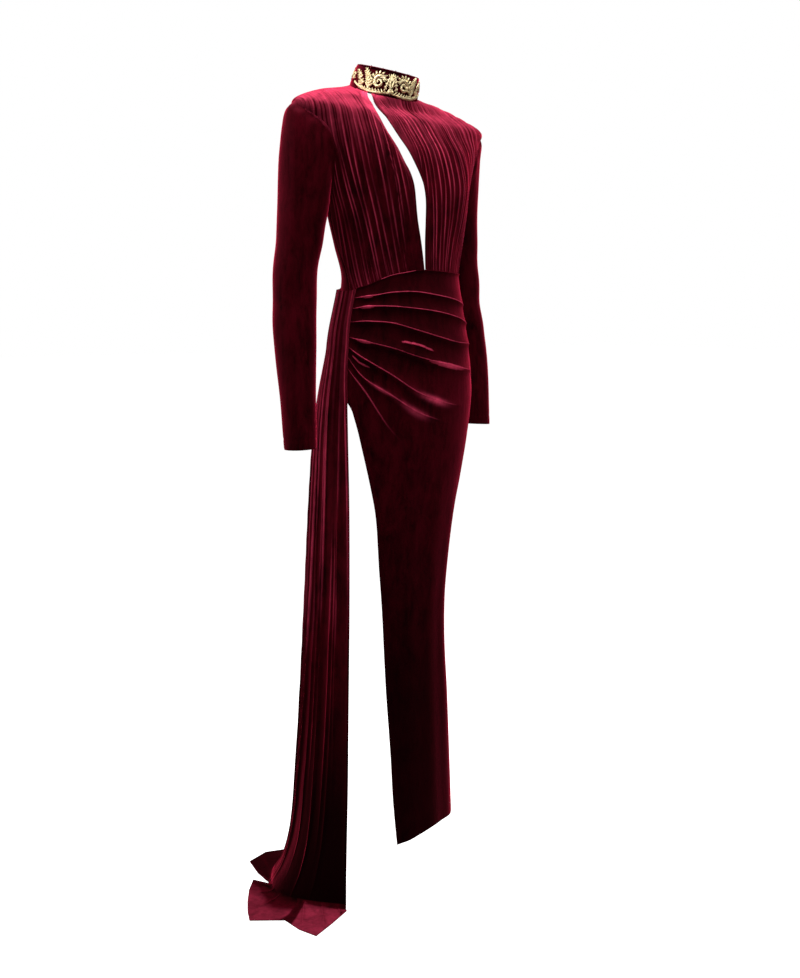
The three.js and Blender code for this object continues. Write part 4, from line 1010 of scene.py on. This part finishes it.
def train_base(u, v):
    """The smooth middle of the train at shares across (u) and down (v)."""
    top = waist(hip_angle(u, np.full_like(u, FRONT_EDGE["level"][-1]))) + TRAIN_LAP
    hanging, lying = split(v, HANGING_SHARE)
    height = mix(top, CURTAIN["height"][0], hanging)
    free = smooth((top - height) / (top - APEX))
    hip_level = np.maximum(height, APEX)
    on_hip = lifted(hips, hip_angle(u, hip_level), hip_level, np.full_like(u, TRAIN_STAND))
    on_hip[..., 2] = height - ORIGIN_HEIGHT
    row = read(CURTAIN, "height", height)
    hung = np.stack([mix(row["front_x"], row["back_x"], u) - row["bow"] * np.sin(np.pi * u),
                     mix(row["front_y"], row["back_y"], u), height - ORIGIN_HEIGHT], -1)
    spot = mix(on_hip, hung, free[..., None])
    ring = read(SKIRT, "level", height)
    depth = np.where(spot[..., 1] < ring["y"], ring["front"], ring["back"]) + TRAIN_STAND
    x, y = spot[..., 0] - ring["x"], spot[..., 1] - ring["y"]
    share = np.minimum(np.hypot(x / (ring["side"] + TRAIN_STAND), y / depth), 1)
    spot[..., 0], spot[..., 1] = ring["x"] + x / share, ring["y"] + y / share
    lie = read(FLOOR_ROWS, "row", lying * FLOOR_ROWS["row"][-1])
    edge = {name: np.interp(u, TRAIN_HEM["u"], TRAIN_HEM[name]) for name in ("x", "y")}
    floor_spot = np.stack([mix(hung[..., 0], edge["x"], lie["out"]),
                           mix(hung[..., 1], edge["y"], lie["out"]),
                           lie["height"] - ORIGIN_HEIGHT], -1)
    return np.where((v > HANGING_SHARE)[..., None], floor_spot, spot), height


def train_form(u, v):
    v = 1 - v
    base, height = train_base(u, v)
    after, before = np.minimum(u + SLOPE_STEP, 1), np.maximum(u - SLOPE_STEP, 0)
    around = train_base(after, v)[0] - train_base(before, v)[0]
    after, before = np.minimum(v + SLOPE_STEP, 1), np.maximum(v - SLOPE_STEP, 0)
    down = train_base(u, after)[0] - train_base(u, before)[0]
    normal = unit(np.cross(around, down))
    wrong = ((normal[..., 0] > 0) & (np.abs(normal[..., 2]) < 0.5)) | (normal[..., 2] < -0.5)
    normal = np.where(wrong[..., None], -normal, normal)
    on_floor = v > HANGING_SHARE
    pleat = read(CURTAIN, "height", height)["pleat"] * np.where(on_floor, 0, 1)
    wave, painted_crest_line = ridges(u, v / HANGING_SHARE, PLEATS, seed=31, sway=0.35, fine=0.15)
    wave = np.minimum(wave, 1.15) * smooth(u / 0.02) * smooth((1 - u) / 0.02)
    lain = smooth((v - HANGING_SHARE) / 0.05) * smooth((1 - v) / 0.06)
    crumple = np.where(on_floor, CREASE_HEIGHT, 0) * ridges(u, v, CREASES, seed=71)[0] * lain
    # Where it hangs, painted highlights run along the pleats and brighten its top, and painted
    # shade lies between the pleats and darkens it near the floor.
    painted_valley_shade = ridges(u, v / HANGING_SHARE, PLEATS + 2, seed=63, sway=0.35, fine=0.25)[1]
    painted_valley_shade = painted_valley_shade * smooth((height - 500) / 300)
    hung = 0.6 * painted_crest_line * mix(0.25, 1, smooth((height - 300) / 700))
    hung = hung + 0.06 * smooth((height - 850) / 300)
    hung = hung - 0.5 * painted_valley_shade * (painted_crest_line < 0.2)
    hung = hung - PAINTED_LOW_SHADE * smooth((620 - height) / 500)
    # On the floor, painted highlights brighten the lobes and streak the rear lobe, and painted
    # shade darkens the valley between the lobes and the rest of the rear lobe.
    out = (v - HANGING_SHARE) / (1 - HANGING_SHARE)
    laid = np.interp(u + 0.06 * (1 - out), PAINTED_FLOOR_LIGHT["u"], PAINTED_FLOOR_LIGHT["painted_brightness"])
    laid = mix(laid - 0.6 * (u > 0.33), laid, smooth((out - 0.1) / 0.7))
    painted_streak = 0.7 * swell(u, 0.865, 0.02) + 0.8 * swell(u, 0.935, 0.014)
    painted_streak = painted_streak * (u > 0.8) * smooth((out - 0.3) / 0.2)
    painted_light = np.where(on_floor, laid + painted_streak - UPWARD_PAINTED_HIGHLIGHT, hung)
    return base + normal * (pleat * wave + crumple)[..., None], painted_light


train = cloth("side_train", TRAIN_COLUMNS, TRAIN_ROWS, train_form, turn=True, thick=TRAIN_THICK)
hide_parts("train")
